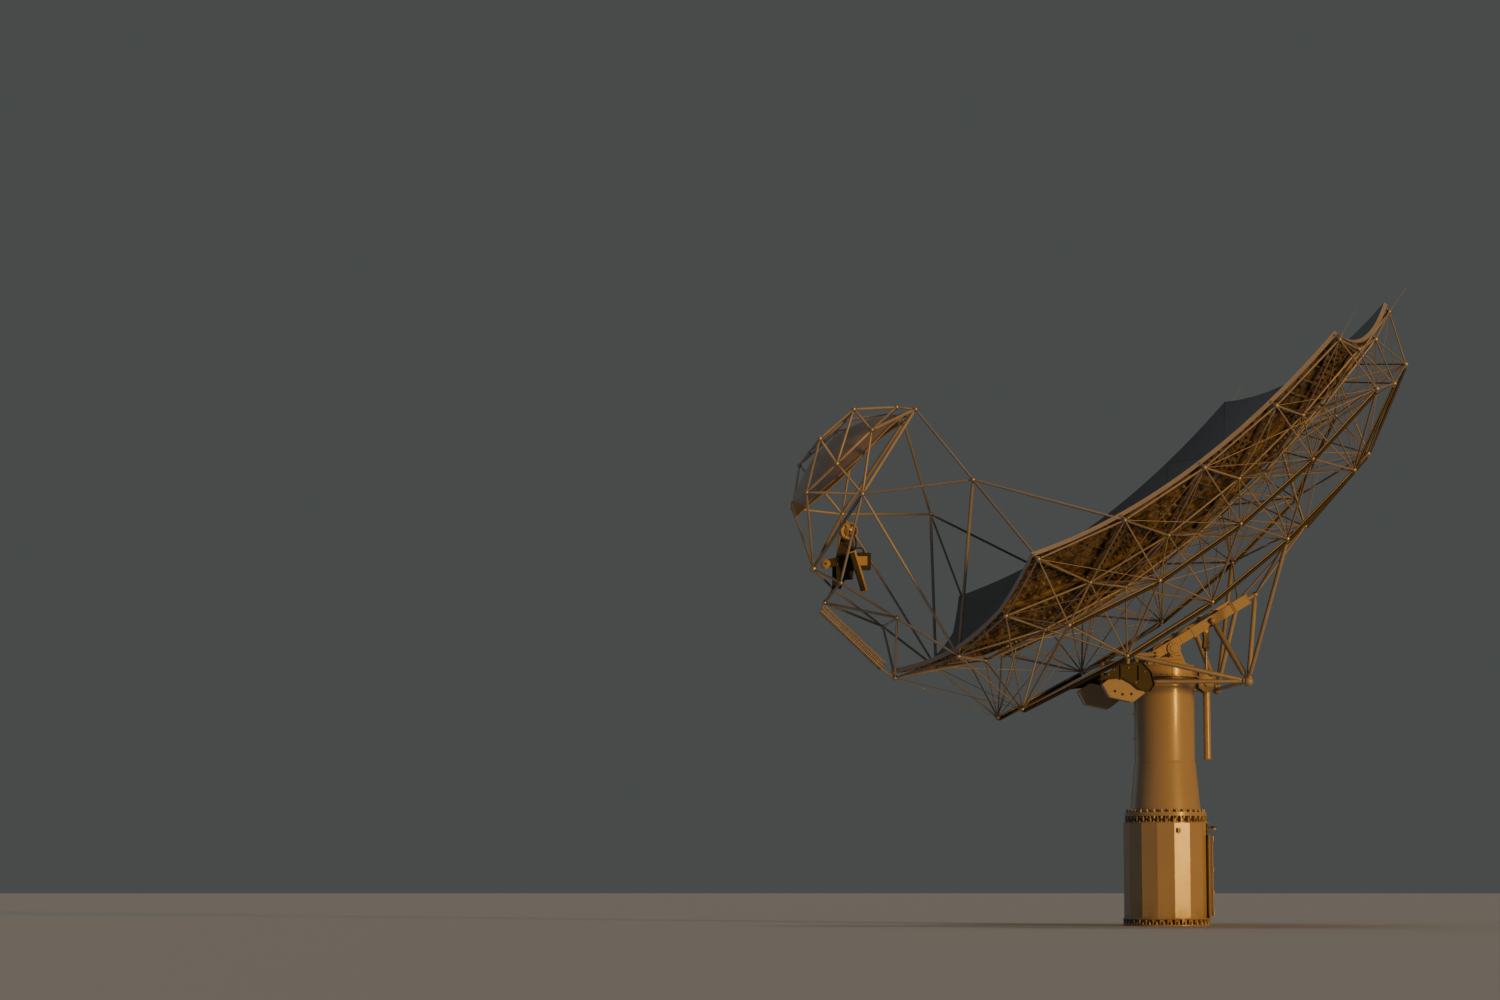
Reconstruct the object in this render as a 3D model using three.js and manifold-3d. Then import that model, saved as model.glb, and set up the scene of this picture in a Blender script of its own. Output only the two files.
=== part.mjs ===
// Offset radio telescope dish on a steel pedestal, in millimetres, +Z up, at its real size.
// The origin is the centre of the pedestal's foot on the ground. The dish is symmetric about the plane y = 0,
// the feed arm reaches towards -X, and the piece names call the side of -Y near and the side of +Y far.
import * as THREE from "three";
import { mergeVertices } from "three/addons/utils/BufferGeometryUtils.js";
import Module from "manifold-3d";

const wasm = await Module();
wasm.setup();

// Gaps
const seat = 0.3; // left where one piece rests on another
const pivotGap = 0.5; // left between the faces of a turning joint

// Pedestal
const facets = 16;
const footRadius = 1210;
const footWaist = 1110; // between the foot's two plates
const footPlate = 40;
const footHeight = 220;
const wallApothem = 1175;
const wallThickness = 40;
const wallTop = 2830;
const lidRadius = 1190; // the plate that closes the wall
const lidTop = 2860;
const flangeWaist = 960;
const flangeRadius = 1140;
const flangeFoot = 3030;
const flangeTop = 3140;
const coneFootRadius = 990;
const coneTop = 4510;
const coneTopRadius = 860;
const columnRadius = 840;
const columnTop = 6700;
const doorAngle = THREE.MathUtils.degToRad(-11.25);
const doorWidth = 940;
const doorFoot = 262;
const doorTop = 2470;
const doorReach = 1300; // from the pedestal's axis to the leaf's outer face
const doorwayWidth = 800;
const doorwayFoot = 320;
const doorwayTop = 2400;
const portalWidth = 980;
const portalTop = 2500;
const portalReach = 1215; // from the pedestal's axis to the portal's outer face
const junctionBox = { angle: -78.75, aside: -108, height: 2630, size: [80, 90, 140] };

// Turnhead
const bearingRadius = 900;
const bearingTop = 6900;
const drumRadius = 940;
const drumTop = 7230;
const elevationAxis = { x: 50, z: 7650 };
const plateInner = 620;
const plateOuter = 800;
const plateHalfFoot = 430;
const plateHalfTop = 230;
const plateTop = 7930;
const bossRadius = 210;

// Elevation screw: the drive hangs in a bracket at the turnhead's side
const screwX = 1210;
const drivePivotZ = 6750;
const screwPinZ = 8220;
const rodRadius = 45;
const rodBelowPivot = 1200;
const driveHalf = 170;
const driveHeight = 380;
const driveBore = 45.8;
const tubeOuter = 108;
const tubeInner = 72;
const tubeFoot = 4620;
const bracketInner = 200;
const bracketThickness = 70;
const bracketReach = 1400;
const bracketWebTop = 7110; // low enough for the screw to lean over it
const forkInner = 75;
const forkThickness = 32;
const forkHalfWidth = 95;
const forkDrop = 480;
const lugRadius = 120;
const lugHalf = 60;

// Girders that carry the dish on the elevation axis
const girderStart = { x: -560, z: 7410 };
const girderEnd = { x: 2170, z: 9050 };
const girderInner = 1000;
const girderWidth = 240;
const girderDepth = 300;
const crossBeam = { x: 1300, z: 8620, radius: 100 };

// Elevation frame and ballast boxes beside the turnhead
const cornerSize = 200;
const frameTube = 55;
const cornerBall = [1950, 2050, 6700];
const sideBall = [-1370, 2050, 7410];
const ballast = {
  x: -1530,
  z: 6480,
  inner: 1720,
  thickness: 380,
  halfWidth: 600,
  halfHeight: 310,
  halfTop: 330,
};
const ballastLean = THREE.MathUtils.degToRad(-12);
const carrierThickness = 90; // the dark plate outside each ballast box, which takes the tube from the corner
const carrierBall = [-790, 2050, 6680];
const carrierOutline = [
  [-2260, 6700], [-1580, 6760], [-1310, 6610], [-1120, 6450], [-810, 6390],
  [-670, 6580], [-760, 6940], [-1000, 7200], [-1670, 7130],
];

// Main reflector: a paraboloid whose vertex, tilt and focal length are given in the dish's rest pose
const vertexX = -7800;
const vertexZ = 7110;
const boresight = THREE.MathUtils.degToRad(85.87); // the beam's height over the horizon, towards -X
const focalLength = 5950;
const longestRow = 7; // panel edges along the middle row of joints
const rowOffsets = [0, 2350, 4620, 6850]; // the rows' distances from the plane of symmetry
const rowStarts = [140, 1600, 2600, 3200]; // where each row of joints starts, along the aperture
const rowEnds = [14990, 13890, 12790, 11690]; // where it ends
const panelThickness = 100;
const panelSplit = 3; // each panel's edge is three flats
const panelJoint = 5; // half the slot between two strips of panels
const notchRadius = 62;
const panelOverhang = 30; // the panels reach this far over the rim's line
const rimInset = 50; // the rim's ball joints stay this far inside it

// Space frame behind the reflector
const frontBall = 140; // the ball joints are octahedra, so their sides lie further in
const frontDepth = 260;
const chordRadius = 40;
const chordSides = 3;
const rearBall = 150;
const rearDepthMiddle = 2150;
const rearStart = { x: 2860, w: 1950, depth: 2050 }; // the lowest rear joint on each side
const rearShift = 180; // the other rear joints stand this far up the aperture from their panels' middles
const rearThinning = 700; // the frame is thinner by this at its sides
const rearEndRise = 650; // and by this at the upper ends of the middle rows
const rearFirst = [4, 0, 0]; // the number of each row's lowest rear joint
const taper = 180; // length of a bar's pointed end
const rod = { radius: 14, length: 900 };

// Feed arm: ball joints as [x, distance from the plane of symmetry, z]
const armBall = 140;
const focusBall = 200; // the joint below the indexer, where the struts meet at small angles
const armTube = 42;
const arm = {
  a: [-7150, 1350, 14250],
  b: [-7670, 1300, 14310],
  c: [-8980, 2400, 14090],
  d: [-9980, 3050, 13185],
  g: [-10260, 2100, 11820],
  h: [-9470, 2600, 12560],
  i: [-8500, 2500, 13510],
  j: [-8780, 2640, 11730],
  l: [-5990, 4410, 11940],
  n: [-9870, 0, 9910],
  o: [-9210, 1000, 9430],
  p: [-9560, 0, 8960],
  q: [-7730, 1656, 8420],
};

// Subreflector: a sheet curved both ways on a chord from its upper to its lower end
const sheet = {
  top: [-7150, 14250],
  along: [-0.797, -0.604],
  middle: 2070, // along the chord
  low: -1850,
  high: 2050,
  crown: 750,
  curveAlong: 2860,
  curveAcross: 3030,
  halfWidth: 2400,
  widest: 300,
  narrowing: 0.0003,
  thickness: 40,
};

// Indexer with its receivers, and the access tray under the feed arm
const hub = { x: -8980, z: 10110 };
const tableOutline = [
  [-230, -520], [230, -480], [260, -110], [600, -110], [600, 110], [270, 120], [250, 500], [190, 960],
  [-40, 960], [-130, 540], [-240, 130], [-600, 40], [-600, -170], [-250, -120],
];
const tableFace = 50;
const tableBack = 160;
const supportBack = 300;
const tray = { from: [-9700, 8700], to: [-8000, 7100], width: 560, height: 230, wall: 30 };

// Finishes, from the photograph
const finishes = {
  creamPaint: { color: 0xd8cdb4, roughness: 0.45, metalness: 0.1 },
  whiteTube: { color: 0xcfc9bb, roughness: 0.5, metalness: 0.15 },
  reflector: { color: 0x8f9194, roughness: 0.4, metalness: 0.7 },
  darkSteel: { color: 0x4a4c4e, roughness: 0.55, metalness: 0.5 },
  receiver: { color: 0xc9a877, roughness: 0.45, metalness: 0.2 },
};

const up = new THREE.Vector3(0, 1, 0);

function point(x, y, z) {
  return new THREE.Vector3(x, y, z);
}

// A closed three.js geometry as a solid that can be joined and cut
function solidOf(geometry) {
  const bare = geometry.clone();
  bare.deleteAttribute("normal");
  bare.deleteAttribute("uv");
  const merged = mergeVertices(bare, 1e-3);
  return new wasm.Manifold(new wasm.Mesh({
    numProp: 3,
    vertProperties: new Float32Array(merged.attributes.position.array),
    triVerts: new Uint32Array(merged.index.array),
  }));
}

function geometryOf(solid) {
  const mesh = solid.getMesh();
  const geometry = new THREE.BufferGeometry();
  geometry.setAttribute("position", new THREE.BufferAttribute(new Float32Array(mesh.vertProperties), 3));
  geometry.setIndex(new THREE.BufferAttribute(new Uint32Array(mesh.triVerts), 1));
  return geometry;
}

function join(solids) {
  return solids.reduce((whole, solid) => whole.add(solid));
}

// How far a ball joint's surface is from its centre in a direction, plus the seat
function seatOn(size, direction) {
  return size / (Math.abs(direction.x) + Math.abs(direction.y) + Math.abs(direction.z)) + seat;
}

// A bar of few sides between two points; where another piece owns the ball joint, it ends in a point on it
function bar(from, to, radius, { sides = 4, seatFrom = 0, seatTo = 0 } = {}) {
  const direction = to.clone().sub(from);
  const length = direction.length();
  direction.normalize();
  const start = seatFrom ? seatOn(seatFrom, direction) : 0;
  const end = seatTo ? length - seatOn(seatTo, direction) : length;
  const profile = [
    new THREE.Vector2(0, start),
    new THREE.Vector2(radius, seatFrom ? start + taper : start),
    new THREE.Vector2(radius, seatTo ? end - taper : end),
    new THREE.Vector2(0, end),
  ];
  const geometry = new THREE.LatheGeometry(profile, sides);
  geometry.applyQuaternion(new THREE.Quaternion().setFromUnitVectors(up, direction));
  geometry.translate(from.x, from.y, from.z);
  return solidOf(geometry);
}

function ball(centre, size) {
  const geometry = new THREE.OctahedronGeometry(size);
  geometry.translate(centre.x, centre.y, centre.z);
  return solidOf(geometry);
}

// A pointed stud from a ball joint to a sheet's back
function studTo(from, target) {
  const direction = target.clone().sub(from);
  const length = direction.length() - seat;
  const geometry = new THREE.ConeGeometry(30, length, 3);
  geometry.translate(0, length / 2, 0);
  geometry.applyQuaternion(new THREE.Quaternion().setFromUnitVectors(up, direction.normalize()));
  geometry.translate(from.x, from.y, from.z);
  return solidOf(geometry);
}

function block(x0, x1, y0, y1, z0, z1) {
  const geometry = new THREE.BoxGeometry(x1 - x0, y1 - y0, z1 - z0);
  geometry.translate((x0 + x1) / 2, (y0 + y1) / 2, (z0 + z1) / 2);
  return geometry;
}

// An upright turned piece from a profile of [radius, height] points
function turned(profile, sides) {
  const geometry = new THREE.LatheGeometry(profile.map(([r, z]) => new THREE.Vector2(r, z)), sides);
  geometry.rotateX(Math.PI / 2);
  return geometry;
}

// An outline of [x, z] points, carried along Y from y0 to y1
function slab(outline, y0, y1) {
  const shape = new THREE.Shape(outline.map(([x, z]) => new THREE.Vector2(x, z)));
  const geometry = new THREE.ExtrudeGeometry(shape, { depth: y1 - y0, bevelEnabled: false });
  geometry.rotateX(Math.PI / 2);
  geometry.translate(0, y1, 0);
  return geometry;
}

// A cylinder along Y
function drum(x, z, radius, y0, y1, sides) {
  const geometry = new THREE.CylinderGeometry(radius, radius, y1 - y0, sides);
  geometry.translate(x, (y0 + y1) / 2, z);
  return geometry;
}

// Two sheets of matching points, closed into one solid with walls round their edge
function closedShell(front, back, triangles) {
  const count = front.length;
  const faces = triangles.map(([a, b, c]) => [a, b, c]);
  const edges = new Map();
  for (const [a, b, c] of triangles) {
    for (const [s, e] of [[a, b], [b, c], [c, a]]) edges.set(s + "," + e, [s, e]);
    faces.push([c + count, b + count, a + count]);
  }
  for (const [s, e] of edges.values()) {
    if (edges.has(e + "," + s)) continue;
    faces.push([e, s, s + count], [e, s + count, e + count]);
  }
  const points = [...front, ...back];
  const volume = faces.reduce((sum, [a, b, c]) => {
    return sum + points[a].dot(points[b].clone().cross(points[c]));
  }, 0);
  if (volume < 0) faces.forEach((face) => face.reverse());
  const geometry = new THREE.BufferGeometry();
  geometry.setAttribute("position", new THREE.Float32BufferAttribute(points.flatMap((p) => p.toArray()), 3));
  geometry.setIndex(faces.flat());
  return geometry;
}

// Where the main reflector is at x along its aperture and w across it, and how far behind its front face
function reflectorPoint(x, w, behind = 0) {
  const slope = 1 / (2 * focalLength);
  const height = (x * x + w * w) / (4 * focalLength);
  const beam = point(-Math.cos(boresight), 0, Math.sin(boresight));
  const along = point(Math.sin(boresight), 0, Math.cos(boresight));
  const normal = beam.clone().addScaledVector(along, -x * slope);
  normal.y -= w * slope;
  normal.normalize();
  return point(vertexX, w, vertexZ)
    .addScaledVector(along, x)
    .addScaledVector(beam, height)
    .addScaledVector(normal, -behind);
}

// The paraboloid's length along its aperture from its vertex to x, and the x at a given length
function arcTo(x) {
  const s = x / (2 * focalLength);
  return focalLength * (s * Math.hypot(1, s) + Math.asinh(s));
}

function atArc(length) {
  let x = length;
  for (let step = 0; step < 12; step++) {
    x -= (arcTo(x) - length) / Math.hypot(1, x / (2 * focalLength));
  }
  return x;
}

// A panel joint's place on the aperture, by row and number; far rows are positive
function jointAt(row, number) {
  const low = rowStarts[Math.abs(row)];
  const high = rowEnds[Math.abs(row)];
  const edges = longestRow - Math.abs(row);
  const x = atArc(THREE.MathUtils.lerp(arcTo(low), arcTo(high), number / edges));
  return { x, w: Math.sign(row) * rowOffsets[Math.abs(row)], edges };
}

// How far a joint's place moves to reach the rim's line plus an overhang, along and across the aperture
function rimShift(row, number, overhang) {
  const edges = longestRow - Math.abs(row);
  const outermost = Math.abs(row) === rowOffsets.length - 1;
  return {
    along: number === 0 ? -overhang : number === edges ? overhang : 0,
    across: outermost ? Math.sign(row) * overhang : 0,
  };
}

// The front ball joint behind that place
function frontJoint(row, number) {
  const { x, w } = jointAt(row, number);
  const { along, across } = rimShift(row, number, -rimInset);
  return reflectorPoint(x + along, w + across, frontDepth);
}

function rearJoint(row, number) {
  const first = jointAt(row, number);
  const second = jointAt(row, number + 1);
  if (number === 0 && Math.abs(row) === 1) {
    return reflectorPoint(rearStart.x, Math.sign(row) * rearStart.w, rearStart.depth);
  }
  const corners = [first, second];
  if (row !== 0) corners.push(jointAt(row + Math.sign(row), number));
  const x = corners.reduce((sum, corner) => sum + corner.x, 0) / corners.length + rearShift;
  const w = corners.reduce((sum, corner) => sum + corner.w, 0) / corners.length;
  const atUpperEnd = Math.abs(row) < 2 && number === first.edges - 1;
  const depth = rearDepthMiddle - rearThinning * (w / 5400) ** 4 - (atUpperEnd ? rearEndRise : 0);
  return reflectorPoint(x, w, depth);
}

// One strip of triangular panels between two rows of joints, on the side that sign names
function panelStrip(row, sign) {
  const inner = row * sign;
  const outer = (row + 1) * sign;
  const outermost = row + 1 === rowOffsets.length - 1;
  const place = (rowNumber, number) => {
    const { x } = jointAt(rowNumber, number);
    const { along } = rimShift(rowNumber, number, panelOverhang);
    const magnitude = rowOffsets[Math.abs(rowNumber)];
    const shift = rowNumber === inner ? panelJoint : outermost ? panelOverhang : -panelJoint;
    return [x + along, sign * (magnitude + shift)];
  };
  const edges = longestRow - row;
  const panels = [];
  for (let n = 0; n < edges; n++) panels.push([place(inner, n), place(inner, n + 1), place(outer, n)]);
  for (let n = 0; n < edges - 1; n++) {
    panels.push([place(inner, n + 1), place(outer, n + 1), place(outer, n)]);
  }
  const front = [];
  const back = [];
  const known = new Map();
  const corner = (x, w) => {
    const key = Math.round(x * 10) + "," + Math.round(w * 10);
    if (!known.has(key)) {
      known.set(key, front.length);
      front.push(reflectorPoint(x, w));
      back.push(reflectorPoint(x, w, panelThickness));
    }
    return known.get(key);
  };
  const triangles = [];
  for (const [p, q, r] of panels) {
    const at = (i, j) => {
      const k = panelSplit - i - j;
      return corner(
        (p[0] * k + q[0] * i + r[0] * j) / panelSplit,
        (p[1] * k + q[1] * i + r[1] * j) / panelSplit,
      );
    };
    for (let i = 0; i < panelSplit; i++) {
      for (let j = 0; j < panelSplit - i; j++) {
        triangles.push([at(i, j), at(i + 1, j), at(i, j + 1)]);
        if (i + j < panelSplit - 1) triangles.push([at(i + 1, j), at(i + 1, j + 1), at(i, j + 1)]);
      }
    }
  }
  return closedShell(front, back, triangles);
}

// The adjuster stud from a front ball to a panel's back: on the middle row the two sides take turns,
// and on the others it carries the strip outside the row
function adjuster(row, number) {
  const { x, w } = jointAt(row, number);
  const outermost = Math.abs(row) === rowOffsets.length - 1;
  const { along } = rimShift(row, number, panelOverhang);
  const turn = row === 0 ? (number % 2 ? 1 : -1) : Math.sign(row);
  const side = outermost ? panelOverhang * turn : panelJoint * turn;
  return studTo(frontJoint(row, number), reflectorPoint(x + along, w + side, panelThickness));
}

function frontTruss(rows, links) {
  const solids = [];
  for (const row of rows) {
    const edges = longestRow - Math.abs(row);
    for (let n = 0; n <= edges; n++) {
      solids.push(ball(frontJoint(row, n), frontBall), adjuster(row, n));
      if (n < edges) {
        solids.push(bar(frontJoint(row, n), frontJoint(row, n + 1), chordRadius, { sides: chordSides }));
      }
    }
  }
  for (const { from, to, owned } of links) {
    const ends = { sides: chordSides, seatTo: owned ? 0 : frontBall };
    const wider = Math.abs(from) < Math.abs(to) ? from : to;
    const narrow = wider === from ? to : from;
    for (let n = 0; n < longestRow - Math.abs(narrow) + 1; n++) {
      for (const other of [n, n + 1]) {
        const a = frontJoint(from, from === narrow ? n : other);
        const b = frontJoint(to, to === narrow ? n : other);
        solids.push(bar(a, b, chordRadius, ends));
      }
    }
  }
  return solids;
}

function rearCount(row) {
  return longestRow - Math.abs(row);
}

// The rear joints of one row with their chords, and the diagonals up to the front joints around them
function rearTruss(row) {
  const solids = [];
  const first = rearFirst[Math.abs(row)];
  const side = Math.sign(row);
  const toFront = { sides: chordSides, seatTo: frontBall };
  for (let n = first; n < rearCount(row); n++) {
    const here = rearJoint(row, n);
    solids.push(ball(here, rearBall));
    if (n + 1 < rearCount(row)) {
      solids.push(bar(here, rearJoint(row, n + 1), chordRadius, { sides: chordSides }));
    }
    const corners = [[row, n], [row, n + 1], [row + (side || 1), n]];
    if (side === 0) corners.push([-1, n]);
    if (Math.abs(row) === 1) corners.push([0, n + 1]);
    for (const [r, k] of corners) solids.push(bar(here, frontJoint(r, k), chordRadius, toFront));
  }
  return solids;
}

function mirrored(place, side) {
  return point(place[0], side * place[1], place[2]);
}

const telescope = new THREE.Group();

function add(name, finish, geometry, parent = telescope) {
  const mesh = new THREE.Mesh(geometry, new THREE.MeshStandardMaterial(finish));
  mesh.name = name;
  parent.add(mesh);
  return mesh;
}

function addSolid(name, finish, solid, parent = telescope) {
  return add(name, finish, geometryOf(solid), parent);
}

// Pedestal: foot, sixteen-sided wall with its doorway, double flange and column
const cream = finishes.creamPaint;
add("base_flange", cream, turned([
  [0, 0],
  [footRadius, 0],
  [footRadius, footPlate],
  [footWaist, footPlate],
  [footWaist, footHeight - footPlate],
  [footRadius, footHeight - footPlate],
  [footRadius, footHeight],
  [0, footHeight],
], 24));

const circumradius = wallApothem / Math.cos(Math.PI / facets);
const innerRadius = (wallApothem - wallThickness) / Math.cos(Math.PI / facets);
const wallFoot = footHeight + seat;
const wallRing = solidOf(turned([
  [innerRadius, wallFoot],
  [circumradius, wallFoot],
  [circumradius, wallTop],
  [innerRadius, wallTop],
  [innerRadius, wallFoot],
], facets));

// A box in the door's own directions: out from the axis, along the wall, up
function doorBlock(r0, r1, s0, s1, z0, z1) {
  const geometry = block(r0, r1, s0, s1, z0, z1);
  geometry.rotateZ(doorAngle);
  return geometry;
}

const portal = solidOf(doorBlock(
  wallApothem - wallThickness + 10, portalReach,
  -portalWidth / 2, portalWidth / 2,
  wallFoot, portalTop,
));
const doorway = solidOf(doorBlock(
  wallApothem - 300, portalReach + 100,
  -doorwayWidth / 2, doorwayWidth / 2,
  doorwayFoot, doorwayTop,
));
const reach = footRadius * 2;
const doorHalf = solidOf(block(seat / 2, reach, -reach, reach, 0, wallTop + 1));
const blindHalf = solidOf(block(-reach, -seat / 2, -reach, reach, 0, wallTop + 1));
addSolid("pedestal_wall_door_side", cream, wallRing.intersect(doorHalf).add(portal).subtract(doorway));
addSolid("pedestal_wall_back", cream, wallRing.intersect(blindHalf));

add("pedestal_door", cream, doorBlock(
  portalReach + pivotGap, doorReach,
  -doorWidth / 2, doorWidth / 2,
  doorFoot, doorTop,
));

const boxRadius = wallApothem + seat;
const [boxDepth, boxWidth, boxHeight] = junctionBox.size;
const boxGeometry = block(
  boxRadius, boxRadius + boxDepth,
  junctionBox.aside - boxWidth / 2, junctionBox.aside + boxWidth / 2,
  junctionBox.height - boxHeight / 2, junctionBox.height + boxHeight / 2,
);
boxGeometry.rotateZ(THREE.MathUtils.degToRad(junctionBox.angle));
add("junction_box", cream, boxGeometry);

add("pedestal_flange", cream, turned([
  [0, wallTop + seat],
  [lidRadius, wallTop + seat],
  [lidRadius, lidTop],
  [flangeWaist, lidTop],
  [flangeWaist, flangeFoot],
  [flangeRadius, flangeFoot],
  [flangeRadius, flangeTop],
  [0, flangeTop],
], 24));
add("pedestal_column", cream, turned([
  [0, flangeTop + seat],
  [coneFootRadius, flangeTop + seat],
  [coneTopRadius, coneTop],
  [columnRadius, coneTop + 60],
  [columnRadius, columnTop],
  [0, columnTop],
], 24));
add("azimuth_bearing", finishes.darkSteel, turned([
  [0, columnTop + seat],
  [bearingRadius, columnTop + seat],
  [bearingRadius, bearingTop],
  [0, bearingTop],
], 24));

// Turnhead: drum, plates of the elevation bearings, bracket of the screw
const turnhead = new THREE.Group();
telescope.add(turnhead);
const drumFoot = bearingTop + pivotGap;
add("turnhead_drum", cream, turned([
  [0, drumFoot], [drumRadius, drumFoot], [drumRadius, drumTop], [0, drumTop],
], 24), turnhead);
for (const [name, side] of [["near", -1], ["far", 1]]) {
  const faces = [side * plateInner, side * plateOuter].sort((a, b) => a - b);
  const plate = solidOf(slab([
    [elevationAxis.x - plateHalfFoot, drumTop + seat],
    [elevationAxis.x + plateHalfFoot, drumTop + seat],
    [elevationAxis.x + plateHalfTop, plateTop],
    [elevationAxis.x - plateHalfTop, plateTop],
  ], faces[0], faces[1]));
  const bossEnds = [side * (plateOuter - 20), side * (girderInner - pivotGap)].sort((a, b) => a - b);
  const boss = solidOf(drum(elevationAxis.x, elevationAxis.z, bossRadius, bossEnds[0], bossEnds[1], 16));
  addSolid("elevation_bearing_" + name, cream, plate.add(boss), turnhead);
}
const bracketFoot = drivePivotZ - 260;
const bracketCheeks = [-1, 1].map((side) => {
  const faces = [side * bracketInner, side * (bracketInner + bracketThickness)].sort((a, b) => a - b);
  return solidOf(slab([
    [bearingRadius + 40, bracketFoot + 420],
    [bearingRadius + 40, bracketFoot + 140],
    [screwX - 60, bracketFoot],
    [bracketReach, bracketFoot + 110],
    [bracketReach, drivePivotZ + 110],
    [drumRadius + 30, drivePivotZ + 330],
    [drumRadius + 30, bracketFoot + 420],
  ], faces[0], faces[1]));
});
const bracketWeb = solidOf(block(
  drumRadius + seat, drumRadius + 45,
  -bracketInner - bracketThickness, bracketInner + bracketThickness,
  bearingTop + 40, bracketWebTop,
));
addSolid("screw_bracket", cream, join([...bracketCheeks, bracketWeb]), turnhead);

// Elevation screw
const boreTool = solidOf(turned([
  [0, drivePivotZ - 500],
  [driveBore, drivePivotZ - 500],
  [driveBore, drivePivotZ + 500],
  [0, drivePivotZ + 500],
], 12).translate(screwX, 0, 0));
const driveBody = solidOf(block(
  screwX - driveHalf, screwX + driveHalf,
  -driveHalf, driveHalf,
  drivePivotZ - driveHeight / 2, drivePivotZ + driveHeight / 2,
));
const trunnionEnd = bracketInner - pivotGap;
const trunnion = solidOf(drum(screwX, drivePivotZ, 60, -trunnionEnd, trunnionEnd, 12));
addSolid("screw_drive", finishes.darkSteel, join([driveBody, trunnion]).subtract(boreTool));
const tubeTop = drivePivotZ - driveHeight / 2 - seat;
add("screw_cover_tube", cream, turned([
  [0, tubeFoot],
  [tubeOuter, tubeFoot],
  [tubeOuter, tubeTop],
  [tubeInner, tubeTop],
  [tubeInner, tubeFoot + 40],
  [0, tubeFoot + 40],
], 12).translate(screwX, 0, 0));
const rodTop = screwPinZ - 300;
const rodSolid = solidOf(turned([
  [0, drivePivotZ - rodBelowPivot],
  [rodRadius, drivePivotZ - rodBelowPivot],
  [rodRadius, rodTop - 150],
  [0, rodTop - 150],
], 12).translate(screwX, 0, 0));
const rodHead = solidOf(block(
  screwX - forkHalfWidth, screwX + forkHalfWidth,
  -forkInner + seat, forkInner - seat,
  screwPinZ - forkDrop, rodTop,
));
addSolid("elevation_screw", finishes.darkSteel, rodSolid.add(rodHead));
for (const [name, side] of [["near", -1], ["far", 1]]) {
  const faces = [side * forkInner, side * (forkInner + forkThickness)].sort((a, b) => a - b);
  const ends = [side * forkInner, side * (forkInner + forkThickness + 25)].sort((a, b) => a - b);
  const cheek = solidOf(block(
    screwX - forkHalfWidth, screwX + forkHalfWidth,
    faces[0], faces[1],
    screwPinZ - forkDrop, screwPinZ + 40,
  ));
  const round = solidOf(drum(screwX, screwPinZ + 20, forkHalfWidth, faces[0], faces[1], 16));
  const pinHead = solidOf(drum(screwX, screwPinZ, 45, ends[0], ends[1], 12));
  addSolid("screw_fork_" + name, finishes.darkSteel, join([cheek, round, pinHead]));
}

// Dish: girders, cross beam with its lug, elevation frame, ballast boxes
const dish = new THREE.Group();
telescope.add(dish);
const girderSpan = point(girderEnd.x - girderStart.x, 0, girderEnd.z - girderStart.z);
const girderLength = girderSpan.length();
const girderTilt = Math.atan2(girderSpan.z, girderSpan.x);
const girderMiddle = girderInner + girderWidth / 2;
const girderSide = girderInner + girderWidth + 60;
function onGirder(share, side) {
  return point(
    THREE.MathUtils.lerp(girderStart.x, girderEnd.x, share),
    side * girderSide,
    THREE.MathUtils.lerp(girderStart.z, girderEnd.z, share),
  );
}
const girderShares = [0.04, 0.62];
const girderTipShare = 1.08;
function girderTip(side, share = girderTipShare) {
  const at = onGirder(share, side);
  return point(at.x, side * girderMiddle, at.z);
}
const beamSide = girderInner - seat;
const beam = solidOf(drum(crossBeam.x, crossBeam.z, crossBeam.radius, -beamSide, beamSide, 12));
const lugPlate = solidOf(slab([
  [screwX - lugRadius, screwPinZ],
  [screwX + lugRadius, screwPinZ],
  [crossBeam.x + 90, crossBeam.z],
  [crossBeam.x - 90, crossBeam.z],
], -lugHalf, lugHalf));
const lugEye = solidOf(drum(screwX, screwPinZ, lugRadius, -lugHalf, lugHalf, 16));
addSolid("girder_cross_beam", cream, join([beam, lugPlate, lugEye]), dish);

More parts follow.
